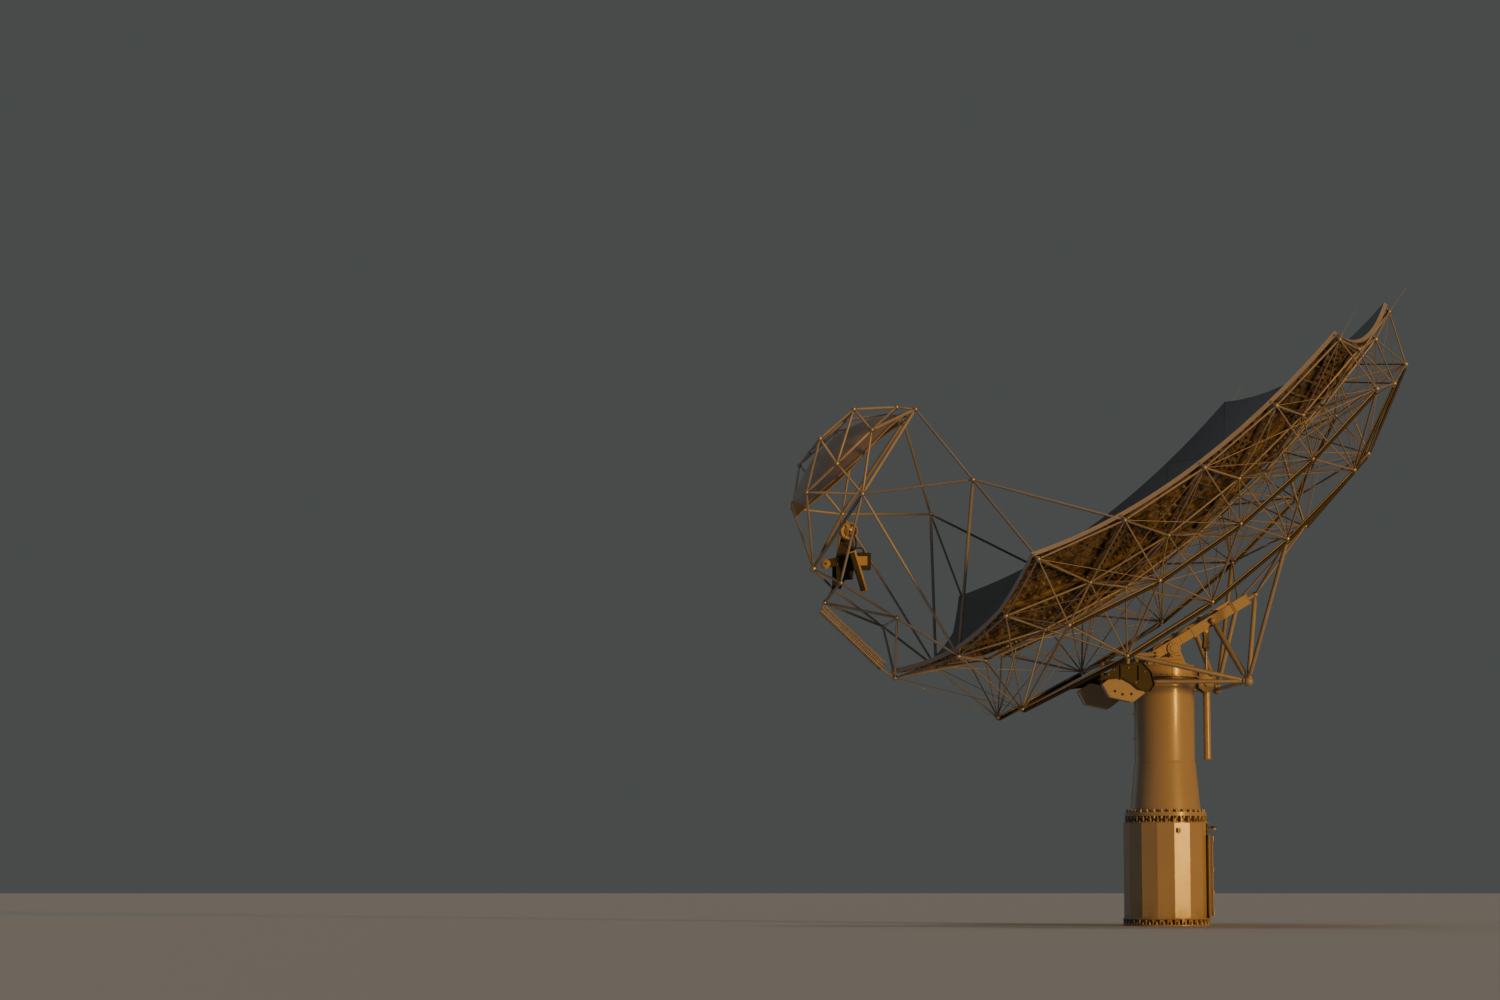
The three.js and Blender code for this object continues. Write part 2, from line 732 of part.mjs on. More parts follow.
const toRear = { seatTo: rearBall };
const toFrame = { seatTo: frontBall };
const toCorner = { seatTo: cornerSize };
for (const [name, side] of [["near", -1], ["far", 1]]) {
  const beamGeometry = new THREE.BoxGeometry(girderLength, girderWidth, girderDepth);
  beamGeometry.rotateY(-girderTilt);
  beamGeometry.translate(
    (girderStart.x + girderEnd.x) / 2,
    side * girderMiddle,
    (girderStart.z + girderEnd.z) / 2,
  );
  const girderBalls = girderShares.map((share) => ball(onGirder(share, side), frontBall));
  const tip = [ball(girderTip(side), frontBall), bar(girderTip(side, 0.98), girderTip(side), 60)];
  addSolid("girder_" + name, cream, join([solidOf(beamGeometry), ...girderBalls, ...tip]), dish);

  const corner = mirrored(cornerBall, side);
  const inner = mirrored(sideBall, side);
  const boxCorner = mirrored(carrierBall, side);
  const parts = [
    ball(corner, cornerSize),
    ball(inner, rearBall),
    bar(corner, inner, frameTube),
    bar(corner, boxCorner, frameTube, toFrame),
    bar(corner, girderTip(side), frameTube, toFrame),
    bar(corner, onGirder(girderShares[1], side), frameTube, toFrame),
    bar(corner, rearJoint(side, 3), frameTube, toRear),
    bar(inner, onGirder(girderShares[0], side), frameTube, toFrame),
    bar(inner, rearJoint(side, 1), frameTube, toRear),
    bar(inner, rearJoint(side, 2), frameTube, toRear),
  ];
  if (side < 0) parts.push(bar(corner, mirrored(cornerBall, 1), frameTube, toCorner));
  addSolid("elevation_frame_" + name, finishes.whiteTube, join(parts), dish);

  const boxOuter = ballast.inner + ballast.thickness;
  const boxFaces = [side * ballast.inner, side * boxOuter].sort((a, b) => a - b);
  const hexagon = [
    [-ballast.halfWidth, 0], [-ballast.halfTop, -ballast.halfHeight], [ballast.halfTop, -ballast.halfHeight],
    [ballast.halfWidth, 0], [ballast.halfTop, ballast.halfHeight], [-ballast.halfTop, ballast.halfHeight],
  ].map(([x, z]) => [
    ballast.x + x * Math.cos(ballastLean) - z * Math.sin(ballastLean),
    ballast.z + x * Math.sin(ballastLean) + z * Math.cos(ballastLean),
  ]);
  const box = solidOf(slab(hexagon, boxFaces[0], boxFaces[1]));
  const boxMiddle = side * (ballast.inner + boxOuter) / 2;
  const hanger = bar(point(inner.x - 60, boxMiddle, ballast.z), inner, 50, toRear);
  addSolid("ballast_box_" + name, cream, join([box, hanger]), dish);

  const plateStart = side * (boxOuter + seat);
  const plateFaces = [plateStart, plateStart + side * carrierThickness].sort((a, b) => a - b);
  const carrier = solidOf(slab(carrierOutline, plateFaces[0], plateFaces[1]));
  addSolid("ballast_carrier_" + name, finishes.darkSteel, join([carrier, ball(boxCorner, frontBall)]), dish);
}

// Space frame
const white = finishes.whiteTube;
for (const [name, side] of [["near", -1], ["far", 1]]) {
  const links = [
    { from: side, to: 2 * side, owned: true },
    { from: 2 * side, to: 3 * side, owned: true },
  ];
  const rods = [frontJoint(3 * side, 4)].map((at) => {
    return bar(at, at.clone().add(point(rod.length * 0.5, 0, rod.length * 0.87)), rod.radius);
  });
  const truss = frontTruss([side, 2 * side, 3 * side], links);
  addSolid("front_frame_" + name, white, join([...truss, ...rods]), dish);
}
const middleLinks = [-1, 1].map((side) => ({ from: 0, to: side, owned: false }));
const topJoint = frontJoint(0, longestRow);
const topRod = bar(topJoint, topJoint.clone().add(point(rod.length * 0.6, 0, rod.length * 0.8)), rod.radius);
addSolid("front_frame_middle", white, join([...frontTruss([0], middleLinks), topRod]), dish);

for (const [name, side] of [["near", -1], ["far", 1]]) {
  const solids = [...rearTruss(side), ...rearTruss(2 * side)];
  for (let n = 0; n < rearCount(2); n++) {
    for (const k of [n, n + 1]) {
      solids.push(bar(rearJoint(2 * side, n), rearJoint(side, k), chordRadius, { sides: chordSides }));
    }
  }
  solids.push(bar(rearJoint(side, 3), girderTip(side), chordRadius, toFrame));
  addSolid("rear_frame_" + name, white, join(solids), dish);
}
const middleRear = rearTruss(0);
for (const side of [-1, 1]) {
  middleRear.push(bar(rearJoint(0, rearFirst[0]), girderTip(side), chordRadius, toFrame));
  for (let n = rearFirst[0]; n < rearCount(0); n++) {
    for (const k of [n - 1, n]) {
      if (k < rearCount(1)) {
        middleRear.push(bar(rearJoint(0, n), rearJoint(side, k), chordRadius, toRear));
      }
    }
  }
}
addSolid("rear_frame_middle", white, join(middleRear), dish);

// The feed arm's joints by name, with those of the rim that it stands on
const rimEnds = { low: [0, 0], side: [1, 0], wide: [3, 0], next: [3, 1] };
function armJoint(key, side) {
  if (rimEnds[key]) return frontJoint(rimEnds[key][0] * side, rimEnds[key][1]);
  return mirrored(arm[key], side);
}

// The panels are notched where the feed arm's tubes pass them on their way to the rim's joints
const notchPairs = [["l", "side"], ["l", "wide"], ["l", "next"], ["j", "side"], ["q", "low"], ["q", "side"]];
for (const [name, sign] of [["near", -1], ["far", 1]]) {
  const notches = join(notchPairs.map(([from, to]) => {
    return bar(armJoint(from, sign), armJoint(to, sign), notchRadius, { sides: 6 });
  }));
  ["inner", "middle", "outer"].forEach((place, row) => {
    const strip = solidOf(panelStrip(row, sign)).subtract(notches);
    addSolid("panel_strip_" + name + "_" + place, finishes.reflector, strip, dish);
  });
}

// Feed arm: tubes between named joints, fused where this piece owns the ball and tapered elsewhere
function armPiece(owned, pairs, side, fused = owned) {
  const at = (key) => armJoint(key, side);
  const size = (key) => rimEnds[key] ? frontBall : key === "n" ? focusBall : armBall;
  const solids = owned.map((key) => ball(at(key), size(key)));
  for (const [from, to] of pairs) {
    const [seatFrom, seatTo] = [from, to].map((key) => fused.includes(key) ? 0 : size(key));
    solids.push(bar(at(from), at(to), armTube, { seatFrom, seatTo }));
  }
  return solids;
}

const sheetNormal = [sheet.along[1], -sheet.along[0]];
function sheetPoint(s, w, behind = 0) {
  const offset = sheet.crown - s * s / (2 * sheet.curveAlong) - w * w / (2 * sheet.curveAcross);
  const leanAlong = s / sheet.curveAlong;
  const leanAcross = w / sheet.curveAcross;
  const size = Math.hypot(1, leanAlong, leanAcross);
  const t = sheet.middle + s + behind * leanAlong / size;
  const n = offset + behind / size;
  return point(
    sheet.top[0] + sheet.along[0] * t + sheetNormal[0] * n,
    w + behind * leanAcross / size,
    sheet.top[1] + sheet.along[1] * t + sheetNormal[1] * n,
  );
}
function sheetHalfWidth(s) {
  return sheet.halfWidth - sheet.narrowing * (s - sheet.widest) ** 2;
}

// The grid of the sheet's corners, so that the studs end on real corners
const sheetSteps = [8, 8];
function sheetCorner(i, j) {
  const s = THREE.MathUtils.lerp(sheet.low, sheet.high, i / sheetSteps[0]);
  const w = sheetHalfWidth(s) * THREE.MathUtils.lerp(-1, 1, j / sheetSteps[1]);
  return [s, w];
}
function stud(from, i, j) {
  const [s, w] = sheetCorner(i, j);
  return studTo(from, sheetPoint(s, w, sheet.thickness));
}

for (const [name, side] of [["near", -1], ["far", 1]]) {
  const ring = armPiece(["a", "b", "c", "d", "g", "h", "i"], [
    ["a", "b"], ["b", "c"], ["c", "d"], ["d", "g"], ["a", "i"], ["i", "h"], ["h", "g"],
    ["b", "i"], ["c", "i"], ["c", "h"], ["d", "h"],
  ], side);
  const edge = side < 0 ? 0 : sheetSteps[1];
  ring.push(stud(mirrored(arm.i, side), 3, edge), stud(mirrored(arm.h, side), 5, edge));
  addSolid("subreflector_frame_" + name, white, join(ring), dish);
  addSolid("outer_struts_" + name, white, join(armPiece(["l"], [
    ["l", "a"], ["l", "side"], ["l", "wide"], ["l", "next"],
  ], side)), dish);
  addSolid("receiver_struts_" + name, white, join(armPiece(["j"], [
    ["j", "l"], ["j", "a"], ["j", "i"], ["j", "h"], ["j", "g"], ["j", "n"], ["j", "o"], ["j", "side"],
  ], side)), dish);
}

// Cross tubes and spine behind the subreflector
const spineKeys = ["b", "c", "d"];
const spine = spineKeys.map((key) => point(arm[key][0], 0, arm[key][2]));
const crossSolids = [ball(spine[1], armBall), ball(spine[2], armBall)];
spineKeys.forEach((key, index) => {
  const ends = { seatFrom: armBall, seatTo: armBall };
  crossSolids.push(bar(mirrored(arm[key], -1), mirrored(arm[key], 1), armTube, ends));
  if (index > 0) crossSolids.push(bar(spine[index - 1], spine[index], armTube));
});
crossSolids.push(stud(spine[1], 3, sheetSteps[1] / 2), stud(spine[2], 5, sheetSteps[1] / 2));
addSolid("subreflector_cross_frame", white, join(crossSolids), dish);

const tie = bar(mirrored(arm.a, -1), mirrored(arm.a, 1), armTube, { seatFrom: armBall, seatTo: armBall });
addSolid("subreflector_top_tie", white, tie, dish);

// The lower arm is one piece across the plane of symmetry
const lowerSolids = [ball(mirrored(arm.n, 1), focusBall), ball(mirrored(arm.p, 1), armBall)];
for (const side of [-1, 1]) {
  lowerSolids.push(...armPiece(["o", "q"], [
    ["n", "o"], ["p", "o"], ["o", "q"], ["p", "q"], ["q", "low"], ["q", "side"], ["n", "g"],
  ], side, ["n", "o", "p", "q"]));
}
lowerSolids.push(bar(mirrored(arm.q, -1), mirrored(arm.q, 1), armTube));
addSolid("lower_arm", white, join(lowerSolids), dish);

// Subreflector sheet
const sheetFront = [];
const sheetBack = [];
const sheetFaces = [];
for (let i = 0; i <= sheetSteps[0]; i++) {
  for (let j = 0; j <= sheetSteps[1]; j++) {
    const [s, w] = sheetCorner(i, j);
    sheetFront.push(sheetPoint(s, w));
    sheetBack.push(sheetPoint(s, w, sheet.thickness));
    if (i < sheetSteps[0] && j < sheetSteps[1]) {
      const k = i * (sheetSteps[1] + 1) + j;
      sheetFaces.push([k, k + 1, k + sheetSteps[1] + 2], [k, k + sheetSteps[1] + 2, k + sheetSteps[1] + 1]);
    }
  }
}
add("subreflector", finishes.reflector, closedShell(sheetFront, sheetBack, sheetFaces), dish);

// Indexer: fixed support, turntable and four receivers
const supportBeam = bar(mirrored(arm.o, -1), mirrored(arm.o, 1), 45, { seatFrom: armBall, seatTo: armBall });
const mast = solidOf(slab([
  [arm.o[0] - 110, arm.o[2] - 60],
  [arm.o[0] + 130, arm.o[2] - 60],
  [hub.x + 230, hub.z - 60],
  [hub.x + 160, hub.z + 230],
  [hub.x - 170, hub.z + 230],
  [hub.x - 330, hub.z - 120],
], tableBack + 60, supportBack));
const hubBoss = solidOf(drum(hub.x, hub.z, 150, tableBack + pivotGap, supportBack - 20, 12));
addSolid("indexer_support", finishes.darkSteel, join([supportBeam, mast, hubBoss]), dish);

const indexer = new THREE.Group();
dish.add(indexer);
const table = tableOutline.map(([x, z]) => [hub.x + x, hub.z + z]);
add("indexer_turntable", finishes.darkSteel, slab(table, tableFace, tableBack), indexer);
const mountFace = tableFace - seat;
add("receiver_drum", finishes.receiver, drum(hub.x + 80, hub.z + 830, 240, -420, mountFace, 16), indexer);
const receiverCase = block(hub.x + 210, hub.x + 690, -330, mountFace, hub.z - 230, hub.z + 230);
add("receiver_box", finishes.receiver, receiverCase, indexer);
const hornTop = [hub.x + 160, hub.z + 260];
const hornFoot = [hub.x + 500, hub.z - 880];
const hornRun = [hornTop[0] - hornFoot[0], hornTop[1] - hornFoot[1]];
const hornGeometry = new THREE.BoxGeometry(190, 170, Math.hypot(...hornRun));
hornGeometry.rotateY(-Math.atan2(hornRun[0], -hornRun[1]));
hornGeometry.translate((hornTop[0] + hornFoot[0]) / 2, -330 - seat - 85, (hornTop[1] + hornFoot[1]) / 2);
add("receiver_horn", finishes.receiver, hornGeometry, indexer);
add("receiver_small", finishes.receiver, drum(hub.x - 540, hub.z - 80, 150, -330, mountFace, 12), indexer);

// Access tray under the feed arm, a channel with lugs up to the ball joints
const trayDirection = new THREE.Vector2(tray.to[0] - tray.from[0], tray.to[1] - tray.from[1]);
const trayLength = trayDirection.length();
const trayHalf = tray.width / 2;
const trayShape = new THREE.Shape([
  [-trayHalf, 0], [trayHalf, 0], [trayHalf, tray.height], [trayHalf - tray.wall, tray.height],
  [trayHalf - tray.wall, tray.wall], [-trayHalf + tray.wall, tray.wall],
  [-trayHalf + tray.wall, tray.height], [-trayHalf, tray.height],
].map(([y, z]) => new THREE.Vector2(y, z)));
const trayGeometry = new THREE.ExtrudeGeometry(trayShape, { depth: trayLength, bevelEnabled: false });
trayGeometry.rotateX(Math.PI / 2);
trayGeometry.rotateZ(Math.PI / 2);
trayGeometry.rotateY(-trayDirection.angle());
trayGeometry.translate(tray.from[0], 0, tray.from[1]);
const trayTop = point(tray.from[0] + 60, 0, tray.from[1] - 40);
const trayEnd = point(tray.to[0] - 60, 0, tray.to[1] + 70);
addSolid("access_tray", white, join([
  solidOf(trayGeometry),
  bar(trayTop, mirrored(arm.p, 1), 30, { seatTo: armBall }),
  bar(trayEnd, frontJoint(0, 0), 30, { seatTo: frontBall }),
]), dish);

export default telescope;
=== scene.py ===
# Radio telescope dish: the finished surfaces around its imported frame, in metres, +Z up.
# The feed arm reaches towards -X, near is the side of -Y and far the side of +Y.
import math
import bpy
import numpy as np
from mathutils import Matrix


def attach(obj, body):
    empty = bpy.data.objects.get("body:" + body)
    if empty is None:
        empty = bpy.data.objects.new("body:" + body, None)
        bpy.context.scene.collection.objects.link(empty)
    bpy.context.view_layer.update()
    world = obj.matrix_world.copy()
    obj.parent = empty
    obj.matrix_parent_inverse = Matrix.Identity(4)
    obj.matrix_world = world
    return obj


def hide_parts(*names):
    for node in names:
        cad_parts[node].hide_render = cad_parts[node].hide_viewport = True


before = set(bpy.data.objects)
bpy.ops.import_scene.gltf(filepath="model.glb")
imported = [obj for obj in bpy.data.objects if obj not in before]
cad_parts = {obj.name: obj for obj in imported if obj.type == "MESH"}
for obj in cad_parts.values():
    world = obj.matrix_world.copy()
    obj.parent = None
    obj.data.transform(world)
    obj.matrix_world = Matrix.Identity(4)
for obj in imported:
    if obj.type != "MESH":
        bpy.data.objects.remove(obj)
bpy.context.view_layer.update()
norm = np.linalg.norm
sides = {"near": -1, "far": 1}
chance = np.random.default_rng(7)
print("frame loaded:", len(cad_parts), "nodes")


# Unit vectors across each direction: the first is level wherever the direction isn't upright
def basis(direction):
    along = direction / norm(direction, axis=-1, keepdims=True)
    helper = np.where(np.abs(along[..., 2:]) < 0.93, [0.0, 0.0, 1.0], [1.0, 0.0, 0.0])
    across = np.cross(helper, along)
    across /= norm(across, axis=-1, keepdims=True)
    return across, np.cross(along, across), along


# Moves each side of a closed outline inwards by a distance, and joins them again at the corners
def inset(outline, distance):
    outline = np.asarray(outline, float)
    before = outline - np.roll(outline, 1, 0)
    after = np.roll(outline, -1, 0) - outline
    turn = np.sum(outline[:, 0] * np.roll(outline[:, 1], -1) - outline[:, 1] * np.roll(outline[:, 0], -1))
    normals = [np.stack([-e[:, 1], e[:, 0]], 1) / norm(e, axis=1)[:, None] for e in (before, after)]
    halfway = normals[0] + normals[1]
    reach = 2 * distance / np.maximum(np.sum(halfway * halfway, 1), 0.4)
    return outline + halfway * reach[:, None] * np.sign(turn)


# A rectangle with its corners cut, as eight points around its middle
def cutRectangle(halfU, halfV, cut):
    u, v = np.array([halfU - cut, halfU]), np.array([halfV, halfV - cut])
    corner = np.stack([u, v], 1)
    return np.concatenate([corner[::-1], corner * [-1, 1], corner[::-1] * [-1, -1], corner * [1, -1]])


# Closed surfaces gathered as arrays of points and faces; every solid faces outwards
class Shape:
    def __init__(self):
        self.points, self.quads, self.caps, self.tones, self.finishes = [], [], [], [], []
        self.count = 0

    # rings[n, l, k] is point k on ring l of solid n: neighbouring rings are joined by quads, and the
    # end rings are closed by flat faces; a solid that comes out inside out is turned round
    def loft(self, rings, finish=0, tone=None, looped=False):
        rings = np.asarray(rings, float)
        rings = rings[None] if rings.ndim == 3 else rings
        centre = rings.mean((1, 2), keepdims=True)
        r = rings - centre
        a, b = r[:, :-1], r[:, 1:]
        an, bn = np.roll(a, -1, 2), np.roll(b, -1, 2)
        volume = np.sum(a * np.cross(an, bn) + a * np.cross(bn, b), (1, 2, 3))
        if looped:
            a, b = r[:, -1:], r[:, :1]
            an, bn = np.roll(a, -1, 2), np.roll(b, -1, 2)
            volume += np.sum(a * np.cross(an, bn) + a * np.cross(bn, b), (1, 2, 3))
        else:
            for ring, way in ((r[:, 0], -1), (r[:, -1], 1)):
                middle = ring.mean(1, keepdims=True)
                volume += way * np.sum(middle * np.cross(ring, np.roll(ring, -1, 1)), (1, 2))
        flipped = volume < 0
        rings = np.where(flipped[:, None, None, None], rings[:, :, ::-1], rings)
        n, l, k, _ = rings.shape
        index = self.count + np.arange(n * l * k).reshape(n, l, k)
        rows = np.concatenate([index, index[:, :1]], 1) if looped else index
        lower, upper = rows[:, :-1], rows[:, 1:]
        quads = np.stack([lower, np.roll(lower, -1, 2), np.roll(upper, -1, 2), upper], -1).reshape(-1, 4)
        self.quads.append((quads, finish))
        if not looped:
            self.caps.append((index[:, 0, ::-1], finish))
            self.caps.append((index[:, -1], finish))
        tones = chance.random(n) if tone is None else np.broadcast_to(tone, n)
        self.points.append(rings.reshape(-1, 3))
        self.tones.append(np.repeat(tones, l * k))
        self.count += n * l * k
        return self

    # Start + distance along * direction + radius * (cosine * across + sine * upwards)
    def turn(self, start, direction, profile, count=16, finish=0, tone=None):
        start, direction = np.atleast_2d(start).astype(float), np.atleast_2d(direction).astype(float)
        start, direction = np.broadcast_arrays(start, direction)
        across, upwards, along = basis(direction)
        profile = np.broadcast_to(profile, (len(start),) + np.shape(profile)[-2:])
        angle = 2 * np.pi * (np.arange(count) + 0.5) / count
        spoke = np.cos(angle)[:, None] * across[:, None] + np.sin(angle)[:, None] * upwards[:, None]
        axis = start[:, None, None] + profile[:, :, None, :1] * along[:, None, None]
        return self.loft(axis + profile[:, :, None, 1:] * spoke[:, None], finish, tone)

    # An outline in the plane of u and v, carried along their normal between two distances, with bevelled rims
    def plate(self, outline, origin, u, v, low, high, bevel=0.003, finish=0, tone=None):
        u, v = np.asarray(u, float), np.asarray(v, float)
        normal = np.cross(u, v)
        outline, small = np.asarray(outline, float), inset(outline, bevel)
        levels = [(small, low), (outline, low + bevel), (outline, high - bevel), (small, high)]
        rings = [np.asarray(origin) + o[:, :1] * u + o[:, 1:] * v + height * normal for o, height in levels]
        return self.loft(np.stack(rings), finish, tone)

    # Many boxes with bevelled edges: centres, their own axes, and half sizes along them
    def boxes(self, centres, u, v, w, half, bevel=0.003, finish=0, tone=None):
        centres = np.atleast_2d(centres).astype(float)
        u, v, w = (np.broadcast_to(np.asarray(d, float), centres.shape) for d in (u, v, w))
        hu, hv, hw = half
        small = cutRectangle(hu - bevel, hv - bevel, bevel / 2)
        full = cutRectangle(hu, hv, bevel)
        rings = []
        for outline, level in ((small, -hw), (full, bevel - hw), (full, hw - bevel), (small, hw)):
            ring = centres[:, None] + outline[:, 0, None] * u[:, None] + outline[:, 1, None] * v[:, None]
            rings.append(ring + level * w[:, None])
        return self.loft(np.stack(rings, 1), finish, tone)

    # Balls as turned arcs, with a small flat at each pole
    def balls(self, centres, radius, count=18, rings=11, finish=0, tone=None):
        angle = np.linspace(0.12, np.pi - 0.12, rings)
        profile = np.stack([-np.cos(angle) * radius, np.sin(angle) * radius], 1)
        centres = np.atleast_2d(centres)
        return self.turn(centres, np.broadcast_to([0, 0, 1.0], centres.shape), profile, count, finish, tone)

    # A round section carried along a curve, its ends closed
    def hose(self, path, radius, count=10, finish=0, tone=None):
        path = np.asarray(path, float)
        way = np.gradient(path, axis=0)
        way /= norm(way, axis=1, keepdims=True)
        across = np.cross(way, [0.13, 0.97, 0.21])
        across /= norm(across, axis=1, keepdims=True)
        other = np.cross(way, across)
        angle = 2 * np.pi * np.arange(count) / count
        ring = np.cos(angle)[None, :, None] * across[:, None] + np.sin(angle)[None, :, None] * other[:, None]
        return self.loft(path[:, None] + radius * ring, finish, tone)

    # A hexagon nut with its washer and the end of its stud, at each place, standing along a direction
    def bolts(self, places, direction, size, finish=0, stud=0.8):
        places = np.atleast_2d(places)
        direction = np.broadcast_to(direction, places.shape)
        washer = [(0, 0.62), (0.12, 0.62)]
        nut = [(0.12, 0.5), (0.2, 0.56), (0.68, 0.56), (0.76, 0.5)]
        thread = [(0.7, 0.3), (0.76 + stud, 0.3), (0.82 + stud, 0.24)]
        for profile, count in ((washer, 12), (nut, 6), (thread, 8)):
            self.turn(places, direction, np.array(profile) * size, count, finish)
        return self


# Steps of many turned pieces at once: each step's distance and radius may differ from piece to piece
def stepTable(steps):
    columns = np.broadcast_arrays(*[value for step in steps for value in step])
    return np.stack(columns, -1).reshape(-1, len(steps), 2)


# A curve through given points: each stretch is a cubic whose slope at a point comes from its neighbours
def smoothPath(points, steps=12):
    points = np.asarray(points, float)
    padded = np.concatenate([2 * points[:1] - points[1:2], points, 2 * points[-1:] - points[-2:-1]])
    t = np.linspace(0, 1, steps, endpoint=False)[:, None]
    rows = []
    for a, b, c, d in zip(padded, padded[1:], padded[2:], padded[3:]):
        curve = 2 * b + (c - a) * t + (2 * a - 5 * b + 4 * c - d) * t**2 + (3 * b - a - 3 * c + d) * t**3
        rows.append(0.5 * curve)
    return np.concatenate(rows + [points[-1:]])


# One finished piece: its mesh, its finishes by number, the body it rides on and the nodes it stands for
def makePiece(name, shape, finishes, body, stands=(), sharp=35):
    points = np.concatenate(shape.points)
    faces, numbers = [], []
    for block, finish in shape.quads + shape.caps:
        faces += block.tolist()
        numbers += [finish] * len(block)
    mesh = bpy.data.meshes.new(name)
    mesh.from_pydata(points.tolist(), [], faces)
    mesh.polygons.foreach_set("material_index", numbers)
    tone = mesh.attributes.new("tone", "FLOAT", "POINT")
    tone.data.foreach_set("value", np.concatenate(shape.tones).astype(np.float32))
    for finish in finishes:
        mesh.materials.append(finish)
    mesh.shade_smooth()
    mesh.set_sharp_from_angle(angle=math.radians(sharp))
    mesh.validate()
    made = bpy.data.objects.new(name, mesh)
    bpy.context.scene.collection.objects.link(made)
    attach(made, body)
    if stands:
        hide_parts(*stands)


# One socket of a material: +, - and * between wires or numbers add a Math node
class Wire:
    def __init__(self, tree, socket=None):
        self.tree, self.socket = tree, socket

    # Any node: its settings first, then values or wires for its sockets
    def node(self, kind, settings=None, inputs=None, out=0):
        made = self.tree.nodes.new(kind)
        for key, value in (settings or {}).items():
            setattr(made, key, value)
        for key, value in (inputs or {}).items():
            self.plug(value, made.inputs[key])
        return Wire(self.tree, made.outputs[out])

    def plug(self, value, target):
        if isinstance(value, Wire):
            self.tree.links.new(value.socket, target)
        else:
            target.default_value = value

    def maths(self, operation, first, second):
        return self.node("ShaderNodeMath", {"operation": operation}, {0: first, 1: second})

    def __add__(self, other):
        return self.maths("ADD", self, other)

    def __sub__(self, other):
        return self.maths("SUBTRACT", self, other)

    def __mul__(self, other):
        return self.maths("MULTIPLY", self, other)

    def __radd__(self, other):
        return self.maths("ADD", other, self)

    def __rsub__(self, other):
        return self.maths("SUBTRACT", other, self)

    def __rmul__(self, other):
        return self.maths("MULTIPLY", other, self)

    # Rises from 0 to 1 as the value goes from low to high
    def rise(self, low, high):
        settings = {"interpolation_type": "SMOOTHSTEP"}
        return self.node("ShaderNodeMapRange", settings, {"Value": self, "From Min": low, "From Max": high})

    def blend(self, first, second):
        settings = {"data_type": "RGBA"}
        return self.node("ShaderNodeMix", settings, {0: self, 6: first, 7: second}, 2)


class Finish:
    def __init__(self, name, metallic=0.0, coat=0.0, coatRoughness=0.2):
        self.material = bpy.data.materials.new(name)
        self.material.use_nodes = True
        tree = self.material.node_tree
        self.shader = next(n for n in tree.nodes if n.type == "BSDF_PRINCIPLED")
        self.shader.inputs["Metallic"].default_value = metallic
        self.shader.inputs["Coat Weight"].default_value = coat
        self.shader.inputs["Coat Roughness"].default_value = coatRoughness
        self.tool = Wire(tree)
        self.place = self.tool.node("ShaderNodeTexCoord", out=3)
        self.tone = self.tool.node("ShaderNodeAttribute", {"attribute_name": "tone"}, out=2)
        self.height = self.tool.node("ShaderNodeSeparateXYZ", inputs={0: self.place}, out=2)

    def noise(self, scale, detail=3.0, rough=0.5, stretch=(1, 1, 1)):
        spread = self.place
        if stretch != (1, 1, 1):
            settings = {"operation": "MULTIPLY"}
            spread = self.tool.node("ShaderNodeVectorMath", settings, {0: self.place, 1: stretch})
        inputs = {"Vector": spread, "Scale": scale, "Detail": detail, "Roughness": rough}
        return self.tool.node("ShaderNodeTexNoise", inputs=inputs)

    def cells(self, scale):
        return self.tool.node("ShaderNodeTexVoronoi", inputs={"Vector": self.place, "Scale": scale})

    def finish(self, colour, roughness, bump=None, strength=0.1, depth=0.001):
        self.tool.plug(colour, self.shader.inputs["Base Color"])
        self.tool.plug(roughness, self.shader.inputs["Roughness"])
        if bump is not None:
            inputs = {"Height": bump, "Strength": strength, "Distance": depth}
            self.tool.plug(self.tool.node("ShaderNodeBump", inputs=inputs), self.shader.inputs["Normal"])
        return self.material


# A colour with full alpha
def colour(red, green, blue):
    return (red, green, blue, 1.0)


# Thick gloss paint on rolled steel: cloudy tone, rain streaks that run down, splashed dirt near the ground
paintLooks = {
    "light": colour(0.43, 0.355, 0.265), "dark": colour(0.33, 0.265, 0.19),
    "dirt": colour(0.14, 0.10, 0.07),
}


# Light to dark by a cloud, then streaks, specks and splashes laid over it
def creamPaint():
    made = Finish("cream_paint", coat=0.28, coatRoughness=0.13)
    cloud = made.noise(0.9, 4.0)
    streak = made.noise(5.5, 4.0, 0.6, (1, 1, 0.06)).rise(0.5, 0.78)
    speck = made.noise(60.0, 2.0).rise(0.66, 0.74)
    splash = (1 - made.height.rise(0.05, 0.75)) * made.noise(3.0, 5.0, 0.65).rise(0.3, 0.75)
    base = (cloud * 0.8 + made.tone * 0.2).blend(paintLooks["light"], paintLooks["dark"])
    base = (streak * 0.35).blend(base, paintLooks["dark"])
    base = (speck * 0.25 + splash * 0.7).blend(base, paintLooks["dirt"])
    peel = made.noise(110.0, 2.0)
    rough = 0.3 + cloud * 0.12 + splash * 0.3 + streak * 0.1
    return made.finish(base, rough, peel, 0.06, 0.002)


# Bare aluminium backs: rolled grain, one tone a panel, and dark dapples of painted shadow where the lattice
# shades them
panelLooks = {
    "light": colour(0.42, 0.33, 0.21), "dark": colour(0.075, 0.055, 0.034),
    "shadowDapple": colour(0.015, 0.011, 0.008),
}
